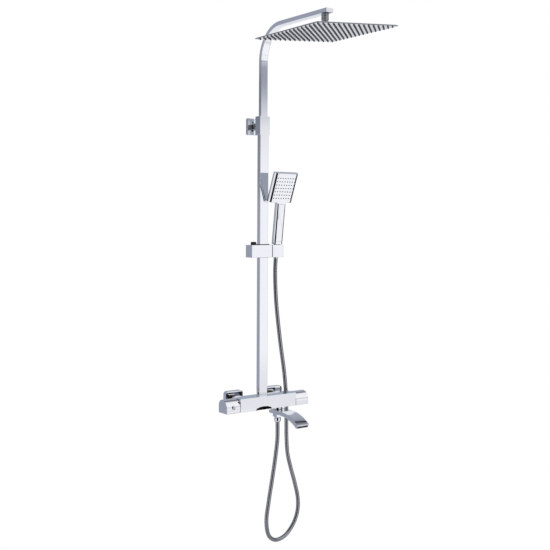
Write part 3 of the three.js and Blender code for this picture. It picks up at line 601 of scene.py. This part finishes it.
def carried_sides(line):
    """Two side directions at each point that don't twist along the line."""
    tangent = np.gradient(line, axis=0)
    tangent /= np.linalg.norm(tangent, axis=1)[:, None]
    side = np.cross(tangent[0], (0.0, 1.0, 0.0))
    side /= np.linalg.norm(side)
    sides = [side]
    for t in tangent[1:]:
        side = side - t * (side @ t)
        side /= np.linalg.norm(side)
        sides.append(side)
    sides = np.array(sides)
    return sides, np.cross(tangent, sides)


hose_sides = carried_sides(hose_line)

# One turn of the strip: how far along the turn, how far out, and how bright the metal is
# painted; its dark seams are painted shadow.
TURN = 4.6
turn_profile = [(0.0, 5.5, 0.0), (0.08, 6.2, 0.8), (0.16, 6.36, 1.0), (0.24, 6.37, 1.0),
                (0.8, 6.37, 1.0), (0.88, 6.36, 1.0), (0.95, 6.15, 0.7)]


def spiral_hose(start, end, sides=22):
    """The stretch of hose from start to end, in millimetres along it, as a helical strip."""
    turns = int(math.ceil((end - start) / TURN)) + 1
    rows = [
        ((turn + share) * TURN, radius, height)
        for turn in range(-1, turns)
        for share, radius, height in turn_profile
    ]
    per_turn = len(turn_profile)
    at, radius, height = np.array(rows).T
    share = np.arange(sides) / sides
    reach = np.clip(start + at[:, None] + TURN * share[None, :], start, end)
    angle = 2 * np.pi * share

    def sample(values):
        return np.stack([np.interp(reach, hose_along, values[:, k]) for k in range(3)], axis=-1)

    middle, u, v = (sample(values) for values in (hose_line, *hose_sides))
    out = np.cos(angle)[None, :, None] * u + np.sin(angle)[None, :, None] * v
    points = (middle + radius[:, None, None] * out).reshape(-1, 3) * MM
    faces = []
    for i in range(len(rows) - 1):
        for j in range(sides):
            k, step = (j + 1, 0) if j + 1 < sides else (0, per_turn)
            corners = (i * sides + j, (i + step) * sides + k,
                       (i + 1 + step) * sides + k, (i + 1) * sides + j)
            if max(corners) < len(points):
                spread = {round(float(reach.flat[c]), 6) for c in corners}
                if len(spread) > 1:
                    faces.append(corners)
    mesh = bpy.data.meshes.new("hose")
    mesh.from_pydata([tuple(p) for p in points], [], faces)
    heights = mesh.attributes.new("turn_height", "FLOAT", "POINT")
    heights.data.foreach_set("value", np.repeat(height, sides).astype(np.float32))
    shape = bmesh.new()
    shape.from_mesh(mesh)
    loose = [vert for vert in shape.verts if not vert.link_faces]
    bmesh.ops.delete(shape, geom=loose, context="VERTS")
    bmesh.ops.recalc_face_normals(shape, faces=shape.faces)
    shape.to_mesh(mesh)
    shape.free()
    return placed("hose", mesh)


def height_on_hose(z):
    """Distance along the hose at which its rising end passes this height."""
    rising = hose_along > hose_length / 2
    return float(np.interp(z, hose_line[rising][:, 2], hose_along[rising]))


def hose_piece(name, start, end):
    obj = spiral_hose(start, end)
    name_and_coat(obj, name, strip)
    return obj


BEND_TOP = height_on_hose(350)
TILT_TOP = height_on_hose(402)
hose = hose_piece("hose", 0, BEND_TOP)
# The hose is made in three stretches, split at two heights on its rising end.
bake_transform(hose)
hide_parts("hose_loop", "hose_rise")
hose_bend = hose_piece("hose_bend", BEND_TOP, TILT_TOP)
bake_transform(hose_bend)
hose_neck = hose_piece("hose_neck", TILT_TOP, hose_length)
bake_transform(hose_neck)


def swept_nut():
    """Round swivel nut of the hose with a shallow waist at each end."""
    top, foot = -54.1, -69.7
    profile = [(5.6, foot), (8.0, foot), (8.7, foot + 0.6), (9.7, foot + 2.2),
               (10.35, foot + 4.6), (10.5, foot + 7.4), (10.35, top - 4.8), (9.8, top - 2.4),
               (9.1, top - 0.8), (8.6, top), (8.3, top), (8.3, top - 11.5), (5.6, top - 12.5)]
    return turned(profile, "z", OUTLET, ring=True)


hose_nut = piece("hose_nut_turned", swept_nut(), brass_chrome, "hose_nut",
                 ["hose_nut"])


def socket_radius(z):
    """Radius of the holder's tapered socket at a height above its middle."""
    return 9.9 - 0.0415 * (BLOCK_TOP - z)


cone_low, cone_high = -22.4, 21.6
cone_profile = [
    (4.2, cone_low), (6.9, cone_low), (7.45, cone_low + 0.4),
    (socket_radius(cone_low) - GAP, cone_low + 1.4),
    (socket_radius(cone_high) - GAP, cone_high - 2.2), (8.1, cone_high - 2.1),
    (8.1, cone_high), (4.2, cone_high),
]
hose_cone = piece("hose_cone_turned", moved(turned(cone_profile, "z", ring=True), LEAN),
                  brass_chrome, "hose_cone", ["hose_cone"])


def toothed(outer, inner, teeth, share=0.45):
    """Outline of a ring of teeth that fill a share of each pitch."""
    points = []
    for i in range(teeth):
        for radius, part in ((outer, 0), (outer, share), (inner, share), (inner, 1)):
            angle = 2 * math.pi * (i + part) / teeth
            points.append((radius * math.cos(angle), radius * math.sin(angle)))
    return points


rim_teeth = prism(toothed(11.0, 10.2, 9, 0.4), "z", 19.8, 21.5)
cut(rim_teeth, prism(circle(8.2, 48), "z", 19, 22))
piece("cone_rim_fluted", moved(rim_teeth, LEAN), brass_chrome, "hose_cone")
rim_seal = turned([(8.3, 19.75), (10.5, 19.75), (10.7, 20.0), (10.7, 21.3), (10.5, 21.55),
                   (8.3, 21.55)], "z", ring=True)
piece("cone_seal_ring", moved(rim_seal, LEAN), rubber, "hose_cone")


# ---- Wall connections ----

def wall_cup(size, corner, depth, wall, hole, centre):
    """Square cover with rounded corners, open towards the wall, with a hole for its pipe."""
    outer, inner = (
        [(centre[0] + u, centre[1] + v) for u, v in rectangle(width, width, radius, steps=10)]
        for width, radius in ((size, corner), (size - 2 * wall, corner - wall))
    )
    cup = soften(prism(outer, "y", -depth, 0), 1.4, 4)
    return cut(
        cup,
        prism(inner, "y", -depth + wall, 1),
        prism(circle(hole, 64, centre), "y", -depth - 1, 1),
    )


def thread(crest, root, pitch, start, end):
    """Profile of a thread's ridges between two distances."""
    count = int((end - start) / pitch)
    step = (end - start) / count
    profile = []
    for i in range(count):
        z = start + i * step
        profile += [(root, z), (crest, z + 0.42 * step), (crest, z + 0.58 * step)]
    return profile + [(root, end)]


def hexagon_nut(centre):
    """Nut 36 mm across its flats with turned ends."""
    corner = 18 / math.cos(math.radians(30))
    low, high = -47.7, -27.7
    nut = prism(circle(corner, 6, centre), "y", low, high)
    turning = [(0, low - 1), (17.4, low - 1), (18.4, low), (corner + 0.1, low + 1.9),
               (corner + 0.1, high - 1.9), (18.4, high), (17.4, high + 1), (0, high + 1)]
    combine(nut, turned(turning, "y", centre, 96), "INTERSECT")
    return cut(nut, prism(circle(13.5, 64, centre), "y", low - 1, high + 1))


for side, x in INLETS.items():
    cover = wall_cup(size=64, corner=10, depth=15, wall=2, hole=10.8, centre=(x, 0))
    piece(f"cover_{side}_pressed", cover, brass_chrome, "column",
          [f"cover_{side}"])
    pipe = [(8, 0), (9.8, 0), (10.5, -0.7), (10.5, -17.6)]
    pipe += [(r, -z) for r, z in thread(crest=13.2, root=12.3, pitch=1.814, start=18, end=36.3)]
    pipe += [(12.3, -36.6), (8, -36.6)]
    piece(f"union_{side}_threaded", turned(pipe, "y", (x, 0), ring=True), brass,
          "column", [f"union_{side}"], sharp=50)
    piece(f"union_nut_{side}_hexagon", hexagon_nut((x, 0)), brass_chrome,
          "column", [f"union_nut_{side}"], sharp=20)


# ---- Mixer bar ----

ARCH_X = -18
BUTTON_AT = (-129.15, -3)
KNOB_ENDS = (BAR_END + 0.8, 153.5)


def arch(growth, floor, steps=40):
    """Outline of the flat arch with full shoulders, above a floor level."""
    spread, rise = 30 + growth, 10.6 + growth
    points = [(ARCH_X + spread, floor)]
    for i in range(1, steps):
        turn = math.pi * i / steps
        u = math.copysign(abs(math.cos(turn)) ** (2 / 2.15), math.cos(turn))
        v = math.sin(turn) ** (2 / 2.15)
        points.append((ARCH_X + spread * u, max(floor, rise * v - BAR_HEIGHT / 2)))
    return points + [(ARCH_X - spread, floor)]


def bar_outline(back, low, front):
    """Section of the bar in (y, z)."""
    return [(BAR_Y + u, v)
            for u, v in rectangle(BAR_DEPTH, BAR_HEIGHT, back, low, front, steps=14)]


sleeve = soften(prism(bar_outline(0.9, 0.9, 0.9), "x", -BAR_END, BAR_END), 0.35, 2)
cut(sleeve, prism(arch(0, -22), "y", -95, -80))
for x in INLETS.values():
    cut(sleeve, prism(circle(13.5, 64, (x, 0)), "y", -54, -47))
# The sleeve's wall side carries the painted shade of its material.
piece("mixer_sleeve", sleeve, casting, "column", ["mixer_shell"])

# Painted shade: the soot-black, barely reflecting lining is a dark sheet that stands in for the
# shade inside the arch.
lining = soften(prism(arch(-0.3, -20.4), "y", -93.4, -80.3), 0.3, 2)
cut(lining, prism(arch(-2.2, -20.6), "y", -95, -91.8))
piece("arch_pocket_lining", lining, rubber, "column", ["arch_insert"])

for name, sign in (("temp_knob", -1), ("flow_knob", 1)):
    near, far = sorted(sign * end for end in KNOB_ENDS)
    handle = soften(prism(bar_outline(19, 2.5, 27), "x", near, far), 0.9, 3)
    if sign < 0:
        cut(handle, prism(circle(6.3, 64, BUTTON_AT), "y", -95, -90))
    piece(f"{name}_moulded", handle, abs_chrome, name, [name])

button = [(0, -96.9), (2.4, -96.8), (2.9, -96.5), (5.8, -93.7), (6.0, -93.3),
          (6.0, -88.4), (0, -88.4)]
piece("safety_button_domed", turned(button, "y", BUTTON_AT, 64), abs_chrome,
      "safety_button", ["safety_button"])


# ---- Hose outlet and waterfall spout ----

collar = soften(box((39, -82, -53.8), (61, -60, -41.0)), 1.3, 4)
post = turned([(0, -48), (10.7, -48), (10.7, -15), (0, -15)], "z", OUTLET)
nipple = turned([(0, -65.8), (7.2, -65.8), (8, -64.8), (8, -52), (0, -52)], "z", OUTLET)
piece("hose_outlet_forged", joined(collar, post, nipple), brass_chrome, "column",
      ["hose_outlet"])

ring = [(11, -27.9), (14.6, -27.9), (15.5, -27.0), (15.5, -24.9), (15.0, -24.3), (15.5, -23.7),
        (15.5, -21.5), (14.8, -20.8), (11, -20.8)]
piece("spout_ring_turned", turned(ring, "z", OUTLET, ring=True), brass_chrome, "column",
      ["spout_ring"])


SPOUT_TOP, STRAIGHT, BEND = -28.2, -44, 153  # its top, then where and how wide it bends


def spout_outline(top, bottom, back, slope, drop, end_angle, steps=36):
    """Side outline of the spout in (y, z) between two depths below its top surface."""
    angles = np.linspace(90, end_angle, steps)
    points = [(back, -bottom), (back, -top - drop), (back - slope, -top), (STRAIGHT, -top)]
    points += arc((STRAIGHT, -BEND), BEND - top, angles[1:])
    points += arc((STRAIGHT, -BEND), BEND - bottom, angles[::-1])
    return [(BAR_Y + y, SPOUT_TOP + z) for y, z in dict.fromkeys(points)]


solid = spout_outline(top=0, bottom=12.5, back=16, slope=11, drop=4.5, end_angle=126)
hollow = spout_outline(top=2, bottom=10.5, back=-9.7, slope=0, drop=0, end_angle=126.6)
spout = soften(prism(solid, "x", 28, 72), 0.9, 3, 30)
cut(
    spout,
    prism(hollow, "x", 30, 70),
    prism(circle(11, 64, OUTLET), "z", -60, -20),
)
piece("spout_cast", spout, brass_chrome, "spout", ["spout_body"])


def weir_outline(steps=8):
    """Side outline of the strip that the water runs over, close inside the spout's lip."""
    centre = (BAR_Y + STRAIGHT, SPOUT_TOP - BEND)
    angles = np.linspace(121.5, 125.6, steps)
    return arc(centre, 150.7, angles) + arc(centre, 146.7, angles)[::-1]


piece("spout_weir_strip", soften(prism(weir_outline(), "x", 30.3, 69.7), 0.25, 2), satin,
      "spout", ["spout_weir"])


# ---- Column and wall bracket ----

BRACKET_Z = 849.6
CLAMP_SCREW = (COLUMN_Y, 866.1)


def about_column(points):
    return [(u, COLUMN_Y + v) for u, v in points]


tube = prism(about_column(rectangle(31, 16, 1.3)), "z", 20.8, 850,
             about_column(rectangle(28, 13, 0.6)))
piece("lower_tube_drawn", tube, steel_chrome, "column", ["column_lower"])

grip = soften(box((-18, -66, 821), (18, -40, 878.2)), 0.9, 3)
cut(
    grip,
    prism(about_column(rectangle(31.6, 16.6, 1.5)), "z", 820, 880),
    prism(circle(2.8, 32, CLAMP_SCREW), "x", 10, 20),
)
piece("bracket_collar_cast", grip, brass_chrome, "column", ["bracket_collar"])
for name, low, high in (("clamp_pad", (8.5, -40.1, 838), (16, -39.6, 856)),
                        ("clamp_pad_upper", (12, -40.1, 864), (16.5, -39.6, 869)),
                        ("clamp_pad_lower", (12, -40.1, 825), (16.5, -39.6, 829))):
    piece(name, soften(box(low, high), 0.2, 2), rubber, "column")

bush = prism(about_column(rectangle(31, 16, 1.4)), "z", 850.3, 877.2,
             about_column(rectangle(25.6, 12.6, 1.4)))
piece("collar_bush_moulded", bush, black, "column", ["collar_bush"])

screw = turned([(0, 15.8), (2.5, 15.8), (2.5, 18.5), (2.2, 18.8), (0, 18.8)], "x",
               CLAMP_SCREW, 32)
cut(screw, prism(circle(1.45, 6, CLAMP_SCREW), "x", 17.4, 19.5))
piece("collar_screw_socket", screw, satin, "column", ["collar_screw"])

stem = soften(box((-7.5, -39.7, 842.1), (7.5, -8.0, 857.1)), 0.5, 2)
cut(stem, prism(circle(5.3, 48, (0, BRACKET_Z)), "y", -41, -7))
piece("bracket_stem_squared", stem, blasted, "column", ["bracket_stem"])
plate = wall_cup(size=52, corner=3.5, depth=10, wall=2, hole=11.3, centre=(0, BRACKET_Z))
piece("bracket_plate_pressed", plate, brass_chrome, "column",
      ["bracket_plate"])


# ---- Riser with its arm ----

def riser_path(steps=40):
    """Centre line of the upper tube in (y, z) with the outward direction at each point."""
    path = [((COLUMN_Y, 600), (1, 0)), ((COLUMN_Y, 820), (1, 0))]
    centre_y, centre_z, radius = COLUMN_Y - 100, 1043, 100
    for i in range(steps + 1):
        a = math.radians(90 * i / steps)
        out = (math.cos(a), math.sin(a))
        path.append(((centre_y + radius * out[0], centre_z + radius * out[1]), out))
    path.append(((-373.2, 1143), (0, 1)))
    return path


def swept_tube(path, section):
    return skinned([[(u, y + v * oy, z + v * oz) for u, v in section]
                    for (y, z), (oy, oz) in path])


def coil_spring(radius, wire, height, turns, steps=24):
    """Round wire wound upward from zero."""
    rings = []
    for i in range(turns * steps + 1):
        a = math.tau * i / steps
        climb = wire + (height - 2 * wire) * i / (turns * steps)
        rings.append([((radius + u) * math.cos(a), (radius + u) * math.sin(a), climb + v)
                      for u, v in circle(wire, 10)])
    return skinned(rings)


upper = swept_tube(riser_path(), rectangle(25, 12, 1.3))
piece("upper_tube_bent", upper, steel_chrome, "riser", ["column_upper"])

cap = [(u, 1143 + v) for u, v in rectangle(25, 12, 1.3)]
piece("arm_end_cap_pressed", soften(prism(cap, "y", -376.5, -373.5), 0.7, 3), steel_chrome,
      "riser", ["arm_end_cap"])


# ---- Ball joint and rain head ----

BALL = (0, -356, 1117)
AT_BALL = moving(BALL)
TILT = moving(BALL, -5.1, "Y")

barrel = [(9.2, 4.7), (10.0, 4.7), (10.4, 5.1), (10.4, 10.6), (10.0, 11.0), (10.0, 11.7),
          (10.4, 12.1), (10.4, 18.6), (9.4, 19.7), (7.5, 19.7), (7.5, 25.2), (1.5, 25.2),
          (1.5, 11), (9.2, 11)]
piece("swivel_barrel_turned", moved(turned(barrel, "z", ring=True), AT_BALL), blasted,
      "riser", ["swivel_barrel"])

retainer = [(8.52, 4.4), (10.1, 4.4), (10.4, 4.0), (10.4, 2.6), (10.1, 1.5), (7.6, -5.2),
            (7.2, -5.6), (6.5, -5.6), (6.5, -3.3), (7.3, -3.3), (7.3, -0.68), (8.52, -0.68)]
piece("swivel_retainer_turned", moved(turned(retainer, "z", ring=True), AT_BALL), blasted,
      "riser", ["swivel_retainer"])

ball = [(0, -23.7), (4, -23.7)]
neck_angle = math.asin(4 / 7)
for i in range(25):
    a = neck_angle + (math.pi - neck_angle) * i / 24
    ball.append((7 * math.sin(a) if i < 24 else 0, -7 * math.cos(a)))
piece("head_ball_polished", moved(turned(ball, "z"), TILT), brass_chrome,
      "head", ["head_ball"])

hub = [(4.3, -23.7), (19.2, -23.7), (19.4, -23.3), (18.6, -22.3), (15.2, -19.6), (12.4, -16.8),
       (10.4, -13.8), (9.0, -11.0), (8.2, -9.9), (7.8, -9.7), (4.3, -9.7)]
piece("head_hub_turned", moved(turned(hub, "z", ring=True, sides=96), TILT), brass_chrome,
      "head", ["head_hub"])


def square(size, corner):
    return rectangle(size, size, corner, steps=8)


HEAD = 288
levels = [(square(HEAD, 6), -33), (square(HEAD, 6), -31.2), (square(HEAD - 8, 5), -29)]
pan = soften(skinned([[(u, v, z) for u, v in outline] for outline, z in levels]), 0.35, 2, 15)
cut(pan, prism(square(HEAD - 2.4, 4.8), "z", -34, -30.45))
chamber = turned([(0, -29.2), (62.5, -29.2), (61, -28.8), (60, -28.3), (53.2, -24.7),
                  (52, -24.2), (50.5, -24.0), (0, -24.0)], "z", sides=96)
piece("head_pan_pressed", moved(joined(pan, chamber), TILT), sheet, "head",
      ["head_pan"])

face = soften(prism(square(HEAD - 3, 4.5), "z", -33, -32), 0.3, 2)
piece("head_face_plate", moved(face, TILT), sheet, "head", ["head_face"])


def pins(columns, rows, pitch_x, pitch_y, base, tip, height, centre, sides=12):
    """A grid of tapered soft nozzles standing on (x, y) and pointing along -Z."""
    shape = bmesh.new()
    cx, cy, top = centre
    for i in range(columns):
        for j in range(rows):
            x = cx + (i - (columns - 1) / 2) * pitch_x
            y = cy + (j - (rows - 1) / 2) * pitch_y
            levels = [(base, top), (base, top - 0.5), (tip, top - height + 0.3),
                      (tip - 0.35, top - height), (0.55, top - height), (0.45, top - height + 0.8)]
            add_skin(shape, [[(x + u, y + v, z) for u, v in circle(r, sides)]
                             for r, z in levels])
    return from_bmesh(shape)


rain_pins = pins(columns=16, rows=16, pitch_x=17.5, pitch_y=17.5, base=2.7, tip=2.0,
                 height=3.6, centre=(0, 0, -32.8))
piece("head_nozzles", moved(rain_pins, TILT), silicone, "head")


# ---- Slider and holder ----

RAIL = moving((0, COLUMN_Y, SLIDER_Z))
PRESS_AT = (-33.5, 0)
STOP_AT = (21.45, 0)


def bored(points):
    return prism(points, "z", -25, 25)


block = soften(box((-51, -17, -BLOCK_TOP), (25.2, 17, BLOCK_TOP)), 1.0, 3)
cut(
    block,
    bored(rectangle(35, 20, 2)),
    prism(circle(9, 64, PRESS_AT), "z", -5.3, 25),
)
piece("slider_block_moulded", moved(block, RAIL), abs_chrome, "slider",
      ["slider_block"])

liner = prism(rectangle(34.4, 19.4, 1.9), "z", -20.05, 21.55, rectangle(31.6, 16.6, 1.5))
piece("slider_bush_moulded", moved(liner, RAIL), black, "slider",
      ["slider_bush"])

press = [(0, 7.25), (8.7, 7.25), (8.7, 26.4), (8.4, 27.6), (7.6, 28.4), (6.2, 28.65),
         (5.2, 28.4), (0, 28.2)]
piece("slider_button_moulded", moved(turned(press, "z", PRESS_AT), RAIL), black,
      "slider_button", ["slider_button"])

# The coil is 12 mm long and the button presses it down to 8.
SPRING_FOOT = Vector((PRESS_AT[0], COLUMN_Y, 460.8)) * MM
winding = coil_spring(radius=5, wire=0.7, height=12, turns=4)
coil = piece("slider_spring_coiled", moved(winding, Matrix.Translation(SPRING_FOOT)), satin,
             "slider", ["slider_spring"])
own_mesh(coil)

stop = turned([(0, 14), (2.2, 14), (2.2, 19.6), (3.6, 19.6), (3.6, 21.2), (3.1, 22.2),
               (1.9, 22.55), (0, 22.55)], "z", STOP_AT, 40)
cut(stop, prism(circle(1.5, 6, STOP_AT), "z", 21, 24))
piece("slider_stop_screw", moved(stop, RAIL), satin, "slider", ["slider_stop"])

spacer = soften(box((25.5, -16.4, -18.7), (26.3, 16.4, 18.7)), 0.2, 2)
piece("holder_washer_cut", moved(spacer, RAIL), black, "slider",
      ["holder_washer"])

holder = soften(box((26.6, -17, -BLOCK_TOP), (68.0, 17, BLOCK_TOP)), 1.0, 3)
IN_HOLDER = RAIL.inverted() @ LEAN
bore = turned([(0, -30), (socket_radius(-30), -30), (socket_radius(30), 30), (0, 30)], "z")
slit = box((0, -7.5, -30), (42, 7.5, 30))
cut(holder, moved(bore, IN_HOLDER), moved(slit, IN_HOLDER))
piece("holder_block_moulded", moved(holder, RAIL), abs_chrome, "holder",
      ["holder_block"])


# ---- Hand shower ----

IN_SPRAY = moving((0, -4.4, 150.7), 14.5)  # the spray head on its handle
handle_outline = rectangle(34, 21, 8.6, steps=12)

stalk = [(-10.5, 32.0), (10.5, 32.0), (10.5, 153.7), (-2.4, 157.5), (-3.6, 157.4),
         (-10.5, 145.4)]
stalk = prism(stalk, "x", -17.5, 17.5)
combine(stalk, prism(handle_outline, "z", 30, 200), "INTERSECT")
sides = [(u, v + 8.7) for u, v in rectangle(89, 17.4, 4, 13.2, 4, steps=14)]
shell = soften(prism(sides, "z", 0, 94.9), 1.1, 4, 50)
cut(shell, box((-32.4, -5, 2.1), (32.4, 2.9, 92.8)))
combine(moved(shell, IN_SPRAY), stalk, "UNION")
piece("handset_shell", moved(shell, LEAN), abs_chrome, "handset",
      ["handset_body"])

band = soften(prism(handle_outline, "z", 21.9, 31.7), 0.6, 2, 50)
cut(band, prism(circle(5.5, 32), "z", 20, 33))
piece("handset_grip_ring", moved(band, LEAN), abs_chrome, "handset",
      ["handset_collar"])

tray = soften(box((-32.3, -0.1, 2.2), (32.3, 2.6, 92.7)), 0.15, 1)
piece("handset_face_plate", moved(tray, LEAN @ IN_SPRAY), abs_chrome, "handset",
      ["handset_face"])

FACING = LEAN @ IN_SPRAY @ moving((0, 0, 47.0)) @ moving((0, 0, 0), -90)
spray_pins = pins(columns=8, rows=7, pitch_x=9.3, pitch_y=10.8, base=1.8, tip=1.7,
                  height=1.3, centre=(0, 0, 0.3))
piece("handset_nozzles", moved(spray_pins, FACING), dark_silicone, "handset")


# ---- Floor, surroundings and lamps ----

def painted_floor():
    # White studio paint: matt, and a little duller where dust has settled.
    return grained("painted_studio_floor", 300, 2, "ECECEC", "F4F4F4", Roughness=0.6)


def pale_floor():
    shape = bmesh.new()
    shape.faces.new([
        shape.verts.new((u, v - 300, -1100)) for u, v in rectangle(2600, 2600, 300)
    ])
    floor = from_bmesh(shape)
    floor.name = "floor"
    floor.data.materials.append(painted_floor())


def shade_ramp(tree, position, stops, low, high):
    """Colour ramp whose stops are given in degrees between low and high."""
    ramp = node(tree, "ValToRGB", {"Fac": position})
    points = ramp.color_ramp.elements
    while len(points) > 1:
        points.remove(points[-1])
    points[0].position = 0
    points[0].color = paint(stops[0][1])
    for angle, code in stops[1:]:
        points.new((angle - low) / (high - low)).color = paint(code)
    return ramp.outputs["Color"]


def studio_surroundings():
    """What the chrome sees: white floor and screens, grey upwards, and dark where the camera
    and its crew stand. The object itself stands before plain white."""
    world = bpy.data.worlds.new("studio")
    world.use_nodes = True
    tree = world.node_tree
    tree.nodes.clear()
    parts = node(tree, "SeparateXYZ", {"Vector": node(tree, "TexCoord").outputs["Generated"]})
    turn = node(tree, "Math", {0: parts.outputs["X"], 1: parts.outputs["Y"]},
                operation="ARCTAN2")
    share = node(tree, "MapRange", {
        "Value": turn.outputs["Value"], "From Min": -math.pi, "From Max": math.pi,
    }).outputs["Result"]
    walls = shade_ramp(tree, share, [
        (-180, "F6F6F9"), (-175, "F6F6F9"), (-169, "18191D"), (-125, "0C0C0F"),
        (-114, "777A84"), (-105, "F8F8FB"), (-76, "F3F4F7"), (-62, "A4A7B3"),
        (-36, "959AA9"), (0, "989CAB"), (24, "A4A8B5"), (33, "E8E9ED"), (116, "F0F1F4"),
        (122, "F6F6F9"),
    ], -180, 180)
    rise = node(tree, "Math", {0: parts.outputs["Z"]}, operation="ARCSINE")
    level = node(tree, "MapRange", {
        "Value": rise.outputs["Value"], "From Min": -math.pi / 2, "From Max": math.pi / 2,
    }).outputs["Result"]
    before = shade_ramp(tree, level, [
        (-90, "F4F5F9"), (-25, "F4F5F9"), (-11.9, "F4F5F9"), (-11.3, "E5E5EA"),
        (-9.5, "E5E5EA"), (-8, "F3F4F8"), (3, "F2F3F8"), (5.5, "E5E6EA"), (6.8, "C9CCD3"),
        (8.1, "989CA8"), (9.1, "989CA8"), (9.2, "9DA0AC"), (9.3, "A9ACB7"), (9.42, "D6D7DD"),
        (9.6, "E2E3E8"), (10.6, "E2E3E8"), (11, "D9DADE"), (12.5, "DDDEE2"), (20, "F4F5F8"),
        (60, "F1F2F5"), (72, "8C919D"), (90, "858A96"),
    ], -90, 90)
    behind = shade_ramp(tree, level, [
        (-90, "F4F5FA"), (-30, "E8E9EE"), (-10, "DADBE2"), (0, "C8CBD5"), (6, "A0A7B5"),
        (11, "9AA5B4"), (20, "9A9FAD"), (36, "A6AAB7"), (46, "9A9EAB"), (49.8, "8A8E99"),
        (50.6, "35373E"), (51.4, "35373E"), (52.2, "6C6F79"), (58, "74777F"), (70, "7E828D"),
        (90, "858A96"),
    ], -90, 90)
    side = node(tree, "MapRange", {
        "Value": parts.outputs["Y"], "From Min": -0.15, "From Max": 0.15,
    })
    height = node(tree, "Mix", {
        "Factor": side.outputs["Result"], LOW: before, HIGH: behind,
    }, data_type="RGBA")
    both = node(tree, "Mix", {"Factor": 1.0, LOW: walls, HIGH: height.outputs[BLENDED]},
                data_type="RGBA", blend_type="DARKEN")

    def screened(under, across, upright, code):
        """A screen with soft edges in front of what is under it."""
        cover = node(tree, "Mix", {
            "Factor": 1.0,
            LOW: shade_ramp(tree, share, [(-180, "000000"), *across], -180, 180),
            HIGH: shade_ramp(tree, level, [(-90, "000000"), *upright], -90, 90),
        }, data_type="RGBA", blend_type="MULTIPLY")
        return node(tree, "Mix", {
            "Factor": cover.outputs[BLENDED], LOW: under, HIGH: paint(code),
        }, data_type="RGBA").outputs[BLENDED]

    right_hand = screened(
        both.outputs[BLENDED],
        [(66, "000000"), (70, "FFFFFF"), (124, "FFFFFF"), (133, "000000")],
        [(-50, "000000"), (-35, "FFFFFF"), (14, "FFFFFF"), (20, "000000")],
        "3E4149")
    left_hand = screened(
        right_hand,
        [(-66, "000000"), (-60, "FFFFFF"), (22, "FFFFFF"), (30, "000000")],
        [(1.2, "000000"), (2.4, "D0D0D0"), (3.9, "C4C4C4"), (5.2, "DADADA"),
         (7.2, "FFFFFF"), (8.4, "FFFFFF"), (8.9, "CCCCCC"), (9.4, "000000")],
        "747884")
    reflected = node(tree, "Background", {"Color": left_hand, "Strength": 1.18})
    seen = node(tree, "Background", {"Color": paint("FFFFFF"), "Strength": 1.0})
    ray = node(tree, "LightPath")
    chosen = node(tree, "MixShader", {
        "Fac": ray.outputs["Is Camera Ray"],
        1: reflected.outputs["Background"],
        2: seen.outputs["Background"],
    })
    node(tree, "OutputWorld", {"Surface": chosen.outputs["Shader"]})
    bpy.context.scene.world = world


def soft_lamp(name, place, target, size, power):
    """A large area lamp that the chrome doesn't mirror."""
    lamp = bpy.data.lights.new(name, "AREA")
    lamp.shape = "RECTANGLE"
    lamp.size, lamp.size_y = size
    lamp.energy = power
    obj = placed(name, lamp)
    obj.location = place
    obj.rotation_mode = "QUATERNION"
    obj.rotation_quaternion = (Vector(target) - Vector(place)).to_track_quat("-Z", "Y")
    obj.visible_glossy = False


pale_floor()
studio_surroundings()
soft_lamp("key", (1.6, -2.2, 2.6), (0, -0.2, 0.5), size=(1.6, 1.6), power=26)
soft_lamp("fill", (-2.6, 1.2, 1.8), (0, -0.2, 0.4), size=(1.4, 2.0), power=9)
bpy.context.scene.view_settings.view_transform = "Standard"
